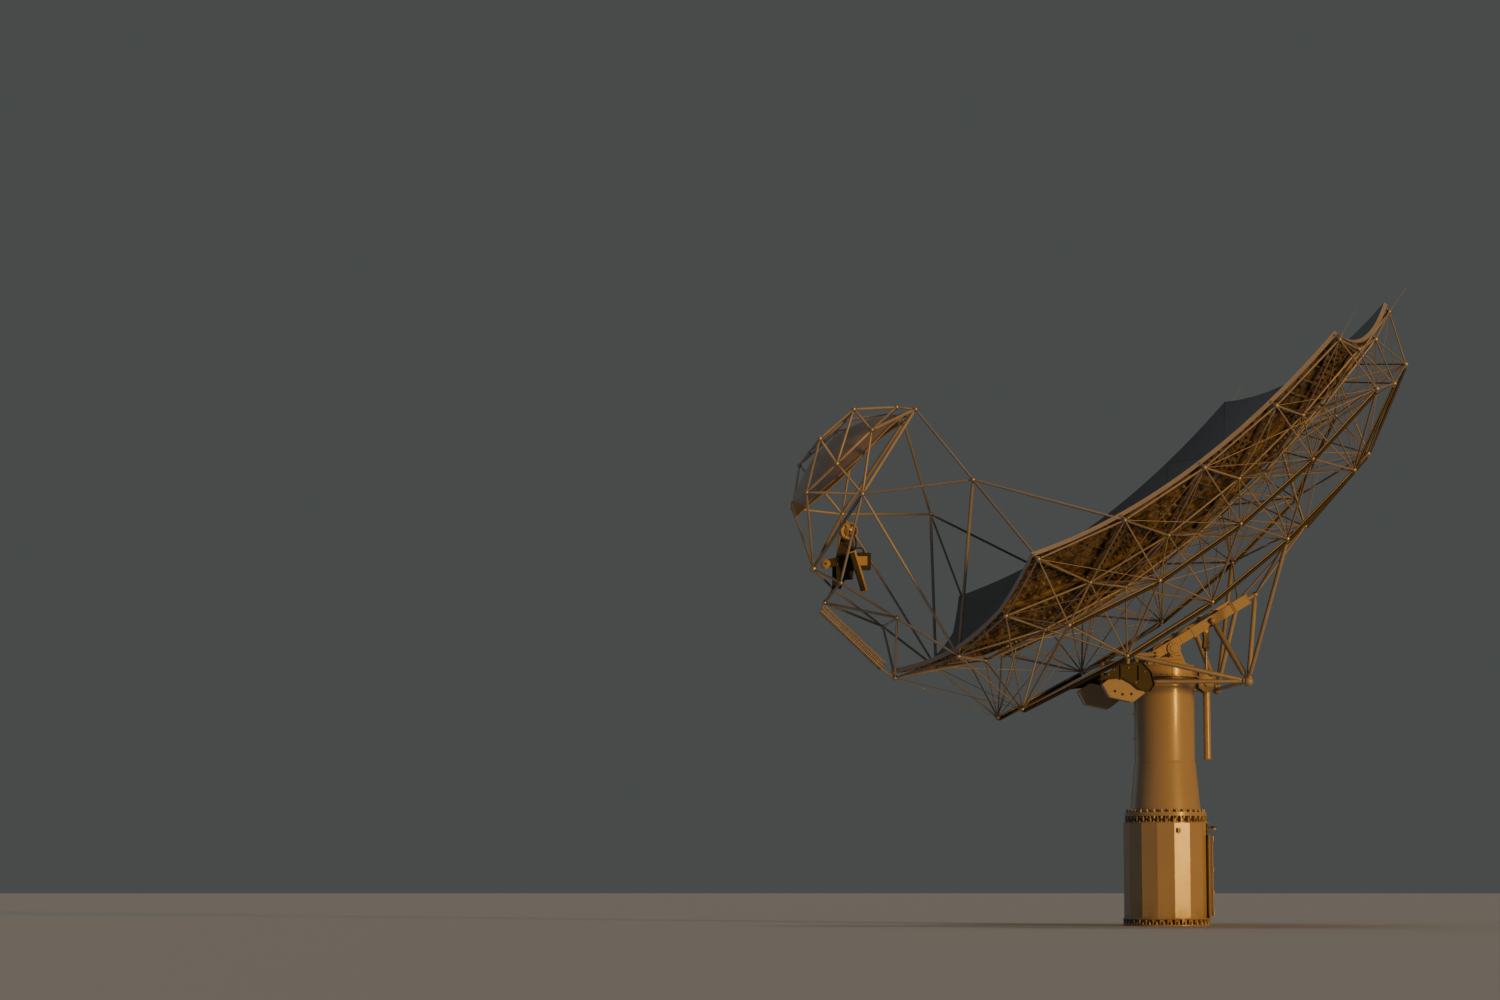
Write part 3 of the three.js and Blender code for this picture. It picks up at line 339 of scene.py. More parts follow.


# The solid's tone and the grain give the base; dark dapples of painted shadow lie over it
def panelMetal():
    made = Finish("reflector_metal", metallic=0.55)
    grain = made.noise(34.0, 3.0, 0.6)
    # painted shadow: dark dapples that stand in for the lattice's shadows on the backs
    shadowDapple = made.noise(2.7, 3.0, 0.6).rise(0.47, 0.58)
    base = (made.tone * 0.5 + grain.rise(0.3, 0.7) * 0.35).blend(panelLooks["light"], panelLooks["dark"])
    base = (shadowDapple * 0.7).blend(base, panelLooks["shadowDapple"])
    return made.finish(base, 0.34 + grain * 0.14 + shadowDapple * 0.2, grain, 0.08)


# Zinc on bolts, studs and gratings
zincLooks = {"light": colour(0.58, 0.52, 0.44), "dark": colour(0.28, 0.25, 0.21)}


# Light to dark by cells and by the solid's tone
def zincCoat():
    made = Finish("zinc_coat", metallic=0.75)
    spangle = made.cells(45.0)
    base = (spangle * 0.5 + made.tone * 0.5).blend(zincLooks["light"], zincLooks["dark"])
    return made.finish(base, 0.32 + spangle * 0.25, spangle, 0.06)


# Black rubber of hoses and seals
def blackRubber():
    made = Finish("black_rubber")
    dust = made.noise(20.0, 4.0).rise(0.45, 0.75)
    base = dust.blend(colour(0.02, 0.02, 0.022), colour(0.07, 0.06, 0.05))
    return made.finish(base, 0.55 + dust * 0.2, made.noise(200.0, 2.0), 0.1)


# Dusty paints. A noise has its scale, detail and roughness. The shares are of the cloud and of the solid's
# own tone from light to dark, and of the dust. Roughness has its base, and more by cloud, dust and tone
dustyPaints = {
    # the space frame's tubes
    "white_tube": {
        "light": (0.45, 0.42, 0.43), "dark": (0.20, 0.175, 0.16), "dust": (0.09, 0.07, 0.055),
        "cloudNoise": (1.7, 4.0), "dustNoise": (14.0, 5.0, 0.65), "dustRise": (0.52, 0.75),
        "shares": (0.5, 0.5, 0.3), "roughness": (0.38, 0.0, 0.25, 0.1), "bumpNoise": (150.0, 2.0),
        "bump": 0.05, "metallic": 0.1, "coat": 0.1,
    },
    # matt paint on the reflecting face, kept dark grey as painted shade over its paler paint
    "shaded_reflector_face": {
        "light": (0.125, 0.125, 0.13), "dark": (0.07, 0.07, 0.075), "dust": (0.12, 0.10, 0.09),
        "cloudNoise": (0.7, 5.0, 0.6), "dustNoise": (6.0, 6.0, 0.7), "dustRise": (0.5, 0.8),
        "shares": (0.5, 0.4, 0.35), "roughness": (0.45, 0.0, 0.2, 0.0), "bumpNoise": (70.0, 2.0),
        "bump": 0.0, "metallic": 0.3, "coat": 0.0,
    },
    # smooth laminate of the subreflector
    "laminate_paint": {
        "light": (0.38, 0.30, 0.25), "dark": (0.26, 0.20, 0.165), "dust": (0.16, 0.12, 0.10),
        "cloudNoise": (0.8, 4.0), "dustNoise": (5.0, 6.0, 0.7), "dustRise": (0.5, 0.82),
        "shares": (1.0, 0.0, 0.3), "roughness": (0.58, 0.0, 0.2, 0.0), "bumpNoise": (70.0, 2.0),
        "bump": 0.05, "metallic": 0.0, "coat": 0.0,
    },
    # dark metal of bearings, castings and fasteners, with rust for dust
    "dark_steel": {
        "light": (0.20, 0.19, 0.18), "dark": (0.07, 0.065, 0.06), "dust": (0.22, 0.10, 0.04),
        "cloudNoise": (5.0, 5.0, 0.6), "dustNoise": (17.0, 5.0, 0.7), "dustRise": (0.58, 0.74),
        "shares": (0.7, 0.3, 0.5), "roughness": (0.35, 0.25, 0.25, 0.0), "bumpNoise": (80.0, 3.0),
        "bump": 0.12, "metallic": 0.6, "coat": 0.0,
    },
    # warm and slightly chalky paint of the receivers
    "receiver_paint": {
        "light": (0.60, 0.44, 0.26), "dark": (0.42, 0.29, 0.16), "dust": (0.13, 0.09, 0.06),
        "cloudNoise": (3.0, 4.0), "dustNoise": (22.0, 5.0, 0.65), "dustRise": (0.55, 0.75),
        "shares": (0.6, 0.4, 0.4), "roughness": (0.4, 0.0, 0.3, 0.0), "bumpNoise": (120.0, 2.0),
        "bump": 0.08, "metallic": 0.0, "coat": 0.2,
    },
    # black paint of the indexer and the ballast's carriers, and of the black tubes under the rear chords that
    # stand as painted shade
    "black_paint": {
        "light": (0.022, 0.020, 0.019), "dark": (0.008, 0.008, 0.008), "dust": (0.055, 0.042, 0.030),
        "cloudNoise": (4.0, 4.0), "dustNoise": (15.0, 5.0, 0.65), "dustRise": (0.55, 0.78),
        "shares": (0.6, 0.4, 0.45), "roughness": (0.55, 0.0, 0.25, 0.0), "bumpNoise": (90.0, 2.0),
        "bump": 0.08, "metallic": 0.0, "coat": 0.0,
    },
}


# Light to dark by a cloud and by each solid's tone, with dust laid over it
def dustyPaint(name):
    s = dustyPaints[name]
    made = Finish(name, s["metallic"], s["coat"])
    cloud, dust = made.noise(*s["cloudNoise"]), made.noise(*s["dustNoise"]).rise(*s["dustRise"])
    cloudShare, toneShare, dustShare = s["shares"]
    base = (cloud * cloudShare + made.tone * toneShare).blend(colour(*s["light"]), colour(*s["dark"]))
    base = (dust * dustShare).blend(base, colour(*s["dust"]))
    start, byCloud, byDust, byTone = s["roughness"]
    rough = start + cloud * byCloud + dust * byDust + made.tone * byTone
    return made.finish(base, rough, made.noise(*s["bumpNoise"]), s["bump"])


# Clear lens of the lamp over the door
def lampGlass():
    made = Finish("lamp_glass", coat=0.6, coatRoughness=0.08)
    ripple = made.noise(60.0, 2.0)
    base = ripple.blend(colour(0.55, 0.52, 0.45), colour(0.42, 0.40, 0.36))
    return made.finish(base, 0.12 + ripple * 0.1, ripple, 0.1)


cream, metal, zinc, rubber, glass = creamPaint(), panelMetal(), zincCoat(), blackRubber(), lampGlass()
white, face, laminate, steel, warm, black = (dustyPaint(name) for name in dustyPaints)
print("finishes made")


# A point at an angle around the pedestal's axis, a distance out and a height
def polar(angle, radius, height):
    angle, radius, height = np.broadcast_arrays(np.radians(angle), radius, height)
    return np.stack([radius * np.cos(angle), radius * np.sin(angle), height], -1)


acrossX, acrossY, upright = np.eye(3)


# Boxes that stand level: the outline lies in X and Z, and the depth along Y
def levelBoxes(shape, centres, half, bevel=0.003, finish=0, tone=None):
    return shape.boxes(centres, acrossX, upright, acrossY, half, bevel, finish, tone)


# Boxes whose outline lies in X and Y, with their height last
def flatBoxes(shape, centres, half, bevel=0.003, finish=0, tone=None):
    return shape.boxes(centres, acrossX, acrossY, upright, half, bevel, finish, tone)


# Bolts on a circle in X and Z around (x, z), at one distance y
def boltCircle(shape, x, y, z, radius, count, way, size, stud, phase=0.5):
    angle = 2 * np.pi * (np.arange(count) + phase) / count
    spots = np.stack([x + radius * np.cos(angle), np.full(count, y), z + radius * np.sin(angle)], 1)
    return shape.bolts(spots, way, size, 1, stud)


# Rings of (height, radius) points about an upright axis at x, lofted in the order in which they come
def ringsAbout(shape, x, profile, count, tone, looped=False):
    angle = 2 * np.pi * (np.arange(count) + 0.5) / count
    rings = [np.stack([x + r * np.cos(angle), r * np.sin(angle), np.full(count, h)], 1) for h, r in profile]
    return shape.loft(np.stack(rings), 0, tone, looped)


# (radius, height) points turned about the pedestal's axis, closed by flat ends down to a narrow core
def turnedUp(shape, profile, count, finish=0):
    core = 0.3
    closed = [(core, profile[0][1])] + profile + [(core, profile[-1][1])]
    rows = [(height, radius) for radius, height in closed]
    return shape.turn((0, 0, 0), upright, rows, count, finish, 0.3)


# The rim of a disc between two heights, with eased corners, as (radius, height) points
def disc(radius, low, high, ease):
    return [(radius - ease, low), (radius, low + ease), (radius, high - ease), (radius - ease, high)]


# A bead of weld around the axis: a ring of small round section
def weldRing(shape, radius, height, size, count=96):
    angle = 2 * np.pi * np.arange(count) / count
    around = 2 * np.pi * np.arange(6) / 6
    ring = radius + size * np.cos(around)
    rings = np.stack([
        ring[None] * np.cos(angle)[:, None],
        ring[None] * np.sin(angle)[:, None],
        np.broadcast_to(height + size * np.sin(around), (count, 6)),
    ], -1)
    return shape.loft(rings, 0, 0.3, looped=True)


# Foot of the pedestal: two plates, a recessed wall, upright ribs and anchor bolts between them
footRing = {
    "radius": 1.21, "waist": 1.11, "plate": 0.04, "height": 0.22,
    "ribs": 36, "ribThickness": 0.011, "boltRadius": 1.165, "boltSize": 0.062,
}


# Upright plates at even angles, from an inner to an outer radius
def radialRibs(shape, count, inner, outer, low, high, half):
    angle = 360 * np.arange(count) / count
    out = polar(angle, 1.0, 0.0)
    side = np.cross(upright, out)
    centres = polar(angle, (inner + outer) / 2, (low + high) / 2)
    size = ((outer - inner) / 2, (high - low) / 2, half)
    return shape.boxes(centres, out, upright, side, size, 0.003, 0, 0.3)


# A turned profile of two plates and a waist, with ribs, and studs at even angles
def buildFoot(s):
    shape = Shape()
    radius, waist, plate, height = s["radius"], s["waist"], s["plate"], s["height"]
    neck = [(waist, plate), (waist, height - plate)]
    turnedUp(shape, disc(radius, 0.0, plate, 0.006) + neck + disc(radius, height - plate, height, 0.006), 128)
    ribFoot, ribTop = plate - 0.001, height - plate + 0.001
    radialRibs(shape, s["ribs"], waist - 0.01, radius - 0.008, ribFoot, ribTop, s["ribThickness"])
    places = polar(360 * (np.arange(s["ribs"]) + 0.5) / s["ribs"], s["boltRadius"], plate + 0.0005)
    shape.bolts(places, upright, s["boltSize"], 1, 0.5)
    makePiece("foot_ring", shape, [cream, zinc], "pedestal", ["base_flange"])


# Lower wall: sixteen flats with rounded bends; it runs from one jamb of the doorway around to the other
lowerWall = {
    "apothem": 1.175, "thickness": 0.04, "foot": 0.2203, "top": 2.83, "flats": 16, "bend": 0.035,
    "door": -11.25, "doorHalf": 0.40, "doorFoot": 0.32, "doorTop": 2.40,
    "portalHalf": 0.49, "portalTop": 2.50, "portalReach": 1.215,
}
doorOut = polar(lowerWall["door"], 1.0, 0.0)
doorSide = np.cross(upright, doorOut)


# Place on the door's flat: out from the axis, along the wall, up
def doorPlace(out, along, height):
    return out * doorOut + along * doorSide + height * upright


# A box that lies along the door's flat
def doorBox(shape, out, along, height, half, bevel=0.004, finish=0, tone=0.5):
    return shape.boxes(doorPlace(out, along, height), doorOut, upright, doorSide, half, bevel, finish, tone)


# The wall's outline at a distance from the axis: flats joined by arcs, from jamb to jamb
def wallOutline(s, apothem, bend):
    step = 2 * math.pi / s["flats"]
    points = [(apothem, s["doorHalf"])]
    for number in range(s["flats"]):
        middle = (number + 0.5) * step
        corner = apothem / math.cos(step / 2) - bend / math.cos(step / 2)
        centre = np.array([corner * math.cos(middle), corner * math.sin(middle)])
        angles = middle + step * np.array([-3, -3, -1, 1, 3, 3]) / 6
        for angle, beyond in zip(angles, (-0.004, 0, 0, 0, 0, 0.004)):
            out = np.array([math.cos(angle), math.sin(angle)])
            points.append(centre + bend * out + beyond * np.array([-out[1], out[0]]))
    points.append((apothem, -s["doorHalf"]))
    local = np.array(points, float)
    return local[:, :1] * doorOut[:2] + local[:, 1:] * doorSide[:2]


# The outline at two distances and two heights, boxes under and over the doorway, and the portal's frame
def buildWall(s):
    shape = Shape()
    outer, inner = (wallOutline(s, s["apothem"] - depth, s["bend"]) for depth in (0, s["thickness"]))
    low, high = s["foot"], s["top"]
    corners = [(outer, low), (outer, high), (inner, high), (inner, low)]
    rings = np.stack([np.concatenate([o, np.full((len(o), 1), z)], 1) for o, z in corners], 1)
    shape.loft(rings, 0, 0.3)
    mid, thick = s["apothem"] - s["thickness"] / 2, s["thickness"] / 2
    for z0, z1 in ((low, s["doorFoot"]), (s["doorTop"], high)):
        doorBox(shape, mid, 0, (z0 + z1) / 2, (thick, (z1 - z0) / 2, s["doorHalf"]), 0.001, 0, 0.3)
    depth = (s["portalReach"] - s["apothem"]) / 2
    at = s["apothem"] + depth
    jamb = (s["portalHalf"] - s["doorHalf"]) / 2
    for side in (-1, 1):
        aside, tall = side * (s["doorHalf"] + jamb), (s["portalTop"] - low) / 2
        doorBox(shape, at, aside, low + tall, (depth + 0.002, tall, jamb))
    for z0, z1 in ((low, s["doorFoot"]), (s["doorTop"], s["portalTop"])):
        doorBox(shape, at, 0, (z0 + z1) / 2, (depth + 0.002, (z1 - z0) / 2, s["doorHalf"]))
    stands = ["pedestal_wall_door_side", "pedestal_wall_back"]
    makePiece("lower_wall", shape, [cream], "pedestal", stands, 20)


# Door leaf: a shallow tray with a folded rim, seal, hinges at the near edge and a lever
doorLeaf = {
    "inner": 1.2155, "outer": 1.30, "half": 0.47, "foot": 0.262, "top": 2.47,
    "fold": 0.02, "rail": 0.03, "hinges": (2.40, 1.545, 0.92, 0.36), "leverHeight": 1.336, "leverAlong": 0.38,
}


# Boxes on the door's flat, turned knuckles and bolts, and the lever as a bent round bar
def buildDoor(s):
    shape = Shape()
    middle, height = (s["foot"] + s["top"]) / 2, (s["top"] - s["foot"]) / 2
    body = (s["outer"] - s["inner"]) / 2 - 0.006
    tray = (body - 0.004, height - s["fold"], s["half"] - s["fold"])
    doorBox(shape, s["outer"] - body - 0.010, 0, middle, tray, 0.006, 0, 0.4)
    for z in (s["foot"] + s["rail"], s["top"] - s["rail"]):
        doorBox(shape, s["outer"] - s["fold"], 0, z, (s["fold"], s["rail"], s["half"]))
    for side in (-1, 1):
        stile = (0.0195, height - 0.058, s["rail"])
        doorBox(shape, s["outer"] - s["fold"], side * (s["half"] - s["rail"]), middle, stile, 0.004, 0, 0.5)
    for z in (middle - 0.36, middle + 0.36):
        doorBox(shape, s["outer"] - 0.006, 0, z, (0.006, 0.02, s["half"] - 0.062), 0.003, 0, 0.45)
    seal = s["inner"] + 0.009
    for z in (s["top"] - 0.05, s["foot"] + 0.05):
        doorBox(shape, seal, 0, z, (0.008, 0.012, s["half"] - 0.04), 0.002, 2, 0.5)
    for side in (-1, 1):
        doorBox(shape, seal, side * (s["half"] - 0.04), middle, (0.008, height - 0.062, 0.012), 0.002, 2, 0.5)
    knuckle = [(0, 0.013), (0.003, 0.016), (0.137, 0.016), (0.14, 0.013)]
    for z in s["hinges"]:
        shape.turn(doorPlace(s["outer"], -s["half"], z - 0.07), upright, knuckle, 14, 1, 0.4)
        doorBox(shape, s["outer"] + 0.004, -s["half"] + 0.07, z, (0.004, 0.05, 0.07), 0.002, 1, 0.4)
        spots = [(along, z + up) for along in (0.05, 0.11) for up in (-0.03, 0.03)]
        places = np.stack([doorPlace(s["outer"] + 0.008, along - s["half"], up) for along, up in spots])
        shape.bolts(places, doorOut, 0.016, 1, 0.1)
    z, out, along = s["leverHeight"], s["outer"], s["leverAlong"]
    doorBox(shape, out + 0.006, along, z, (0.006, 0.10, 0.028), 0.004, 1, 0.5)
    spindle = [(0, 0.014), (0.05, 0.014), (0.055, 0.011)]
    keyhole = [(0, 0.016), (0.012, 0.016), (0.015, 0.012)]
    shape.turn(doorPlace(out + 0.01, along, z + 0.03), doorOut, spindle, 14, 1, 0.5)
    bar = ((0.05, 0.005, 0.03), (0.056, -0.05, 0.03), (0.05, -0.13, 0.028))
    lever = [doorPlace(out + a, along + b, z + c) for a, b, c in bar]
    shape.hose(smoothPath(lever), 0.011, 10, 1, 0.5)
    shape.turn(doorPlace(out + 0.01, along, z - 0.045), doorOut, keyhole, 14, 1, 0.3)
    makePiece("door_leaf", shape, [cream, zinc, rubber], "door", ["pedestal_door"])


# Small cabinet on the bright flat, and the lamp over the door
wallFittings = {
    "boxAngle": -78.75, "boxAside": -0.108, "boxHeight": 2.63, "boxHalf": (0.04, 0.07, 0.045),
    "wallFace": 1.1753, "lampHeight": 2.72, "lampReach": 1.175,
}


# Boxes and a turned shade beside the wall
def buildFittings(s):
    out = polar(s["boxAngle"], 1.0, 0.0)
    side = np.cross(upright, out)
    deep, tall, wide = s["boxHalf"]
    shape = Shape()
    centre = (s["wallFace"] + deep) * out + s["boxAside"] * side + s["boxHeight"] * upright
    shape.boxes(centre, out, upright, side, (deep - 0.003, tall, wide), 0.006, 0, 0.4)
    lid = (0.006, tall - 0.012, wide - 0.010)
    shape.boxes(centre + (deep - 0.006) * out, out, upright, side, lid, 0.003, 1, 0.6)
    rightUp = [(a * (wide - 0.018), b * (tall - 0.02)) for a in (-1, 1) for b in (-1, 1)]
    corners = [centre + deep * out + a * side + b * upright for a, b in rightUp]
    shape.bolts(np.stack(corners), out, 0.010, 2, 0.05)
    gland = centre - (tall + 0.002) * upright
    shape.turn(gland, -upright, [(-0.002, 0.012), (0.03, 0.012), (0.034, 0.009)], 12, 2, 0.4)
    makePiece("wall_cabinet", shape, [cream, steel, zinc], "pedestal", ["junction_box"])
    lamp = Shape()
    root = doorPlace(s["lampReach"], 0.0, s["lampHeight"])
    lamp.boxes(root + 0.006 * doorOut, doorOut, upright, doorSide, (0.0065, 0.06, 0.06), 0.003, 0, 0.5)
    stem = [root + out * doorOut + rise * upright for out, rise in ((0.01, 0.0), (0.09, 0.03), (0.15, 0.01))]
    lamp.hose(smoothPath(stem), 0.014, 10, 0, 0.5)
    head = root + 0.16 * doorOut + 0.005 * upright
    shade = [(-0.03, 0.02), (-0.02, 0.07), (0.012, 0.085), (0.02, 0.085), (0.022, 0.078)]
    lamp.turn(head, -upright, shade, 20, 0, 0.5)
    lamp.turn(head, -upright, [(0.018, 0.072), (0.055, 0.06), (0.08, 0.035), (0.085, 0.015)], 20, 1, 0.5)
    makePiece("door_lamp", lamp, [steel, glass], "pedestal")


# Bolted flange pair over the wall: lid, recessed neck with upright ribs, flange, studs with nuts on top
flangePair = {
    "lid": 1.19, "low": 2.8303, "lidTop": 2.86, "waist": 0.96, "foot": 3.03, "radius": 1.14, "top": 3.14,
    "groove": 3.084, "ribs": 32, "boltRadius": 1.07, "boltSize": 0.075, "lidBoltRadius": 1.12,
    "lidBoltSize": 0.04,
}


# A turned profile with ribs in its recess, and studs with nuts over and under the flange
def buildFlange(s):
    shape = Shape()
    ease, radius, groove = 0.005, s["radius"], s["groove"]
    lower = disc(s["lid"], s["low"], s["lidTop"], ease) + [(s["waist"], s["lidTop"]), (s["waist"], s["foot"])]
    edge = [(radius - ease, s["foot"]), (radius, s["foot"] + ease), (radius, groove - 0.004)]
    edge += [(radius - ease, groove - 0.002), (radius - ease, groove + 0.002), (radius, groove + 0.004)]
    turnedUp(shape, lower + edge + [(radius, s["top"] - ease), (radius - ease, s["top"])], 128)
    low, high = s["lidTop"] - 0.001, s["foot"] + 0.001
    radialRibs(shape, s["ribs"], s["waist"] - 0.01, s["radius"] - 0.012, low, high, 0.009)
    angles = 360 * (np.arange(s["ribs"]) + 0.5) / s["ribs"]
    shape.bolts(polar(angles, s["boltRadius"], s["top"] + 0.0005), upright, s["boltSize"], 1, 0.35)
    shape.bolts(polar(angles, s["boltRadius"], s["foot"] - 0.0005), -upright, s["boltSize"], 1, 0.3)
    shape.bolts(polar(angles, s["lidBoltRadius"], s["lidTop"] + 0.0005), upright, s["lidBoltSize"], 1, 0.3)
    makePiece("flange_pair", shape, [cream, zinc], "pedestal", ["pedestal_flange"])


# Cone and tube above the flange, with weld beads and a seam that runs up
upperColumn = {
    "foot": 3.1403, "footRadius": 0.99, "coneTop": 4.51, "coneRadius": 0.86, "radius": 0.84, "top": 6.70,
}


# A turned cone and tube, rings of weld, seams as thin hoses on the surface, and lifting stubs
def buildColumn(s):
    shape = Shape()
    neck, collar = s["coneTop"] + 0.06, s["radius"] + 0.03
    coneFoot = (s["footRadius"] - 0.012, s["foot"] + 0.05)
    cone = [(s["footRadius"], s["foot"]), coneFoot, (s["coneRadius"], s["coneTop"])]
    tube = [(s["radius"] + 0.008, neck - 0.02), (s["radius"], neck + 0.01), (s["radius"], s["top"] - 0.10)]
    turnedUp(shape, cone + tube + [(collar, s["top"] - 0.06), (collar, s["top"])], 128)
    weldRing(shape, s["footRadius"] - 0.002, s["foot"] + 0.008, 0.012)
    weldRing(shape, s["coneRadius"] - 0.001, s["coneTop"], 0.006)
    weldRing(shape, s["radius"], 6.59, 0.007)
    for angle, low, high in ((140.0, 4.58, 6.58), (20.0, 3.2, 4.5)):
        steps = np.linspace(low, high, 24)
        onCone = np.interp(steps, [coneFoot[1], s["coneTop"]], [coneFoot[0], s["coneRadius"]])
        radius = np.where(steps < s["coneTop"], onCone, s["radius"])
        shape.hose(polar(angle, radius, steps), 0.005, 6, 0, 0.3)
    for height in (5.2, 5.9):
        for side in (-1, 1):
            root, out = polar(150 + side * 6, s["radius"], height), polar(150 + side * 6, 1.0, 0.0)
            shape.turn(root, out, [(-0.01, 0.02), (0.05, 0.02), (0.055, 0.015)], 12, 1, 0.4)
    makePiece("upper_column", shape, [cream, zinc], "pedestal", ["pedestal_column"])


# Slewing bearing: two rings with a step between them, and bolts under the lower one
slewBearing = {
    "low": 6.7003, "top": 6.90, "radius": 0.90, "bolts": 48, "boltRadius": 0.868, "boltSize": 0.034,
}


# Two turned rings and a circle of bolts
def buildBearing(s):
    shape = Shape()
    r, z0, z1 = s["radius"], s["low"], s["top"]
    ease, split, small = 0.004, z0 + 0.10, r - 0.03
    turnedUp(shape, disc(r, z0, split, ease), 120, 2)
    cover = [(r - 0.008, split + 0.024), (r - ease, split + 0.028), (r - ease, z1 - ease), (r - 0.008, z1)]
    turnedUp(shape, [(small, split), (small, split + 0.02)] + cover, 120)
    angles = 360 * (np.arange(s["bolts"]) + 0.5) / s["bolts"]
    shape.bolts(polar(angles, s["boltRadius"], z0 - 0.0005), -upright, s["boltSize"], 1, 0.2)
    makePiece("slewing_bearing", shape, [steel, zinc, cream], "pedestal", ["azimuth_bearing"])


buildFoot(footRing)
buildWall(lowerWall)
buildDoor(doorLeaf)
buildFittings(wallFittings)
buildFlange(flangePair)
buildColumn(upperColumn)
buildBearing(slewBearing)
print("pedestal built")

# Turnhead: drum with a lip and seams, bearing plates with ribs and round covers
turnheadLooks = {
    "low": 6.9005, "top": 7.23, "radius": 0.94, "axis": (0.05, 7.65), "inner": 0.62, "outer": 0.80,
    "halfFoot": 0.43, "halfTop": 0.23, "plateTop": 7.93, "bossEnd": 0.9995,
}


# Outline in X and Z, carried along Y between two distances
def alongY(shape, outline, y0, y1, bevel=0.004, finish=0, tone=None):
    low, high = sorted((-y0, -y1))
    return shape.plate(outline, (0, 0, 0), acrossX, upright, low, high, bevel, finish, tone)


# Points on a circle in X and Z, from one angle to another
def arc(centre, radius, start, end, count):
    angle = np.radians(np.linspace(start, end, count))
    return [(centre[0] + radius * math.cos(a), centre[1] + radius * math.sin(a)) for a in angle]


# Strips on the sides of an outline in X and Z, each moved outwards from its side's middle by a shift
def addFolds(shape, starts, ends, y, half, trim, shift, bevel, tone):
    for a, b in zip(np.asarray(starts, float), np.asarray(ends, float)):
        length = norm(b - a)
        along = np.array([b[0] - a[0], 0, b[1] - a[1]]) / length
        outwards = np.cross(along, acrossY)
        centre = np.array([(a + b)[0] / 2, y, (a + b)[1] / 2]) + outwards * shift
        shape.boxes(centre, along, acrossY, outwards, (length / 2 - trim, *half), bevel, 0, tone)


# A turned drum with bolts on its lip and eight seams
def buildRing(s):
    shape = Shape()
    r, z0, z1 = s["radius"], s["low"], s["top"]
    lip = disc(r + 0.034, z0, z0 + 0.034, 0.004) + [(r, z0 + 0.036), (r, z1 - 0.034)]
    turnedUp(shape, lip + [(r + 0.012, z1 - 0.03)] + disc(r + 0.016, z1 - 0.03, z1, 0.004)[1:], 128)
    angles = 360 * (np.arange(40) + 0.5) / 40
    shape.bolts(polar(angles, r + 0.017, z0 + 0.0345), upright, 0.028, 1, 0.2)
    seams = polar(45 * np.arange(8) - 87, 1.0, 0.0)
    places = polar(45 * np.arange(8) - 87, r - 0.004, (z0 + z1) / 2)
    shape.boxes(places, seams, upright, np.cross(upright, seams), (0.0055, 0.128, 0.009), 0.001, 2, 0.4)
    makePiece("turnhead_ring", shape, [cream, zinc, black], "turnhead", ["turnhead_drum"])


# On each side two plates with ribs between and outside them, a boss and a cover around the axis, and bolts
def buildPlates(s):
    ax, az = s["axis"]
    inner, outer, foot = s["inner"], s["outer"], s["top"]
    for name, side in sides.items():
        shape = Shape()
        outline = [(ax - s["halfFoot"], foot + 0.0003), (ax + s["halfFoot"], foot + 0.0003)]
        outline += arc((ax, s["plateTop"] - s["halfTop"]), s["halfTop"], 8, 172, 14)
        mid = side * (inner + outer) / 2
        for y in (inner, outer - 0.03):
            alongY(shape, outline, side * y, side * (y + 0.03), 0.004, 0, 0.3)
        half = (outer - inner) / 2 - 0.02
        for dx, tall in ((-0.36, 0.2), (-0.12, 0.42), (0.12, 0.42), (0.36, 0.2)):
            levelBoxes(shape, (ax + dx * 0.95, mid, foot + tall / 2), (0.012, tall / 2, half), 0.002, 0, 0.3)
        for dz, reach in ((0.14, 0.37), (0.26, 0.30)):
            levelBoxes(shape, (ax, side * (outer + 0.03), foot + dz), (reach, 0.011, 0.035), 0.003, 0, 0.3)
        flatBoxes(shape, (ax, mid, foot + 0.018), (s["halfFoot"] + 0.03, 0.13, 0.017), 0.004, 0, 0.4)
        out = side * acrossY
        far = s["bossEnd"] - outer + 0.03
        boss = [(0, 0.235), (0.05, 0.235), (0.056, 0.229), (0.056, 0.2), (far - 0.03, 0.2)]
        boss += [(far - 0.026, 0.196), (far, 0.196)]
        cover = [(0, 0.19), (0.03, 0.19), (0.035, 0.185), (0.035, 0.12), (0.06, 0.115), (0.062, 0.08)]
        shape.turn((ax, side * (outer - 0.03), az), out, boss, 48, 0, 0.4)
        shape.turn((ax, side * (inner + 0.01), az), -out, cover, 40, 0, 0.4)
        boltCircle(shape, ax, side * (outer + 0.0205), az, 0.216, 12, out, 0.03, 0.3)
        boltCircle(shape, ax, side * (inner - 0.0255), az, 0.15, 12, -out, 0.026, 0.3)
        stands = ["elevation_bearing_" + name]
        makePiece("bearing_plates_" + name, shape, [cream, zinc], "turnhead", stands)


# Bracket of the elevation screw: two cheeks with flanged edges on the turnhead's side
screwLooks = {
    "x": 1.21, "pivotZ": 6.75, "pinZ": 8.22, "rod": 0.045, "cheekInner": 0.20, "cheekThickness": 0.07,
    "reach": 1.40, "webTop": 7.11, "webFoot": 6.94, "tubeFoot": 4.62, "tubeRadius": 0.108,
    "tubeBore": 0.072, "forkInner": 0.075, "forkThickness": 0.032, "forkHalf": 0.095, "forkDrop": 0.48,
}


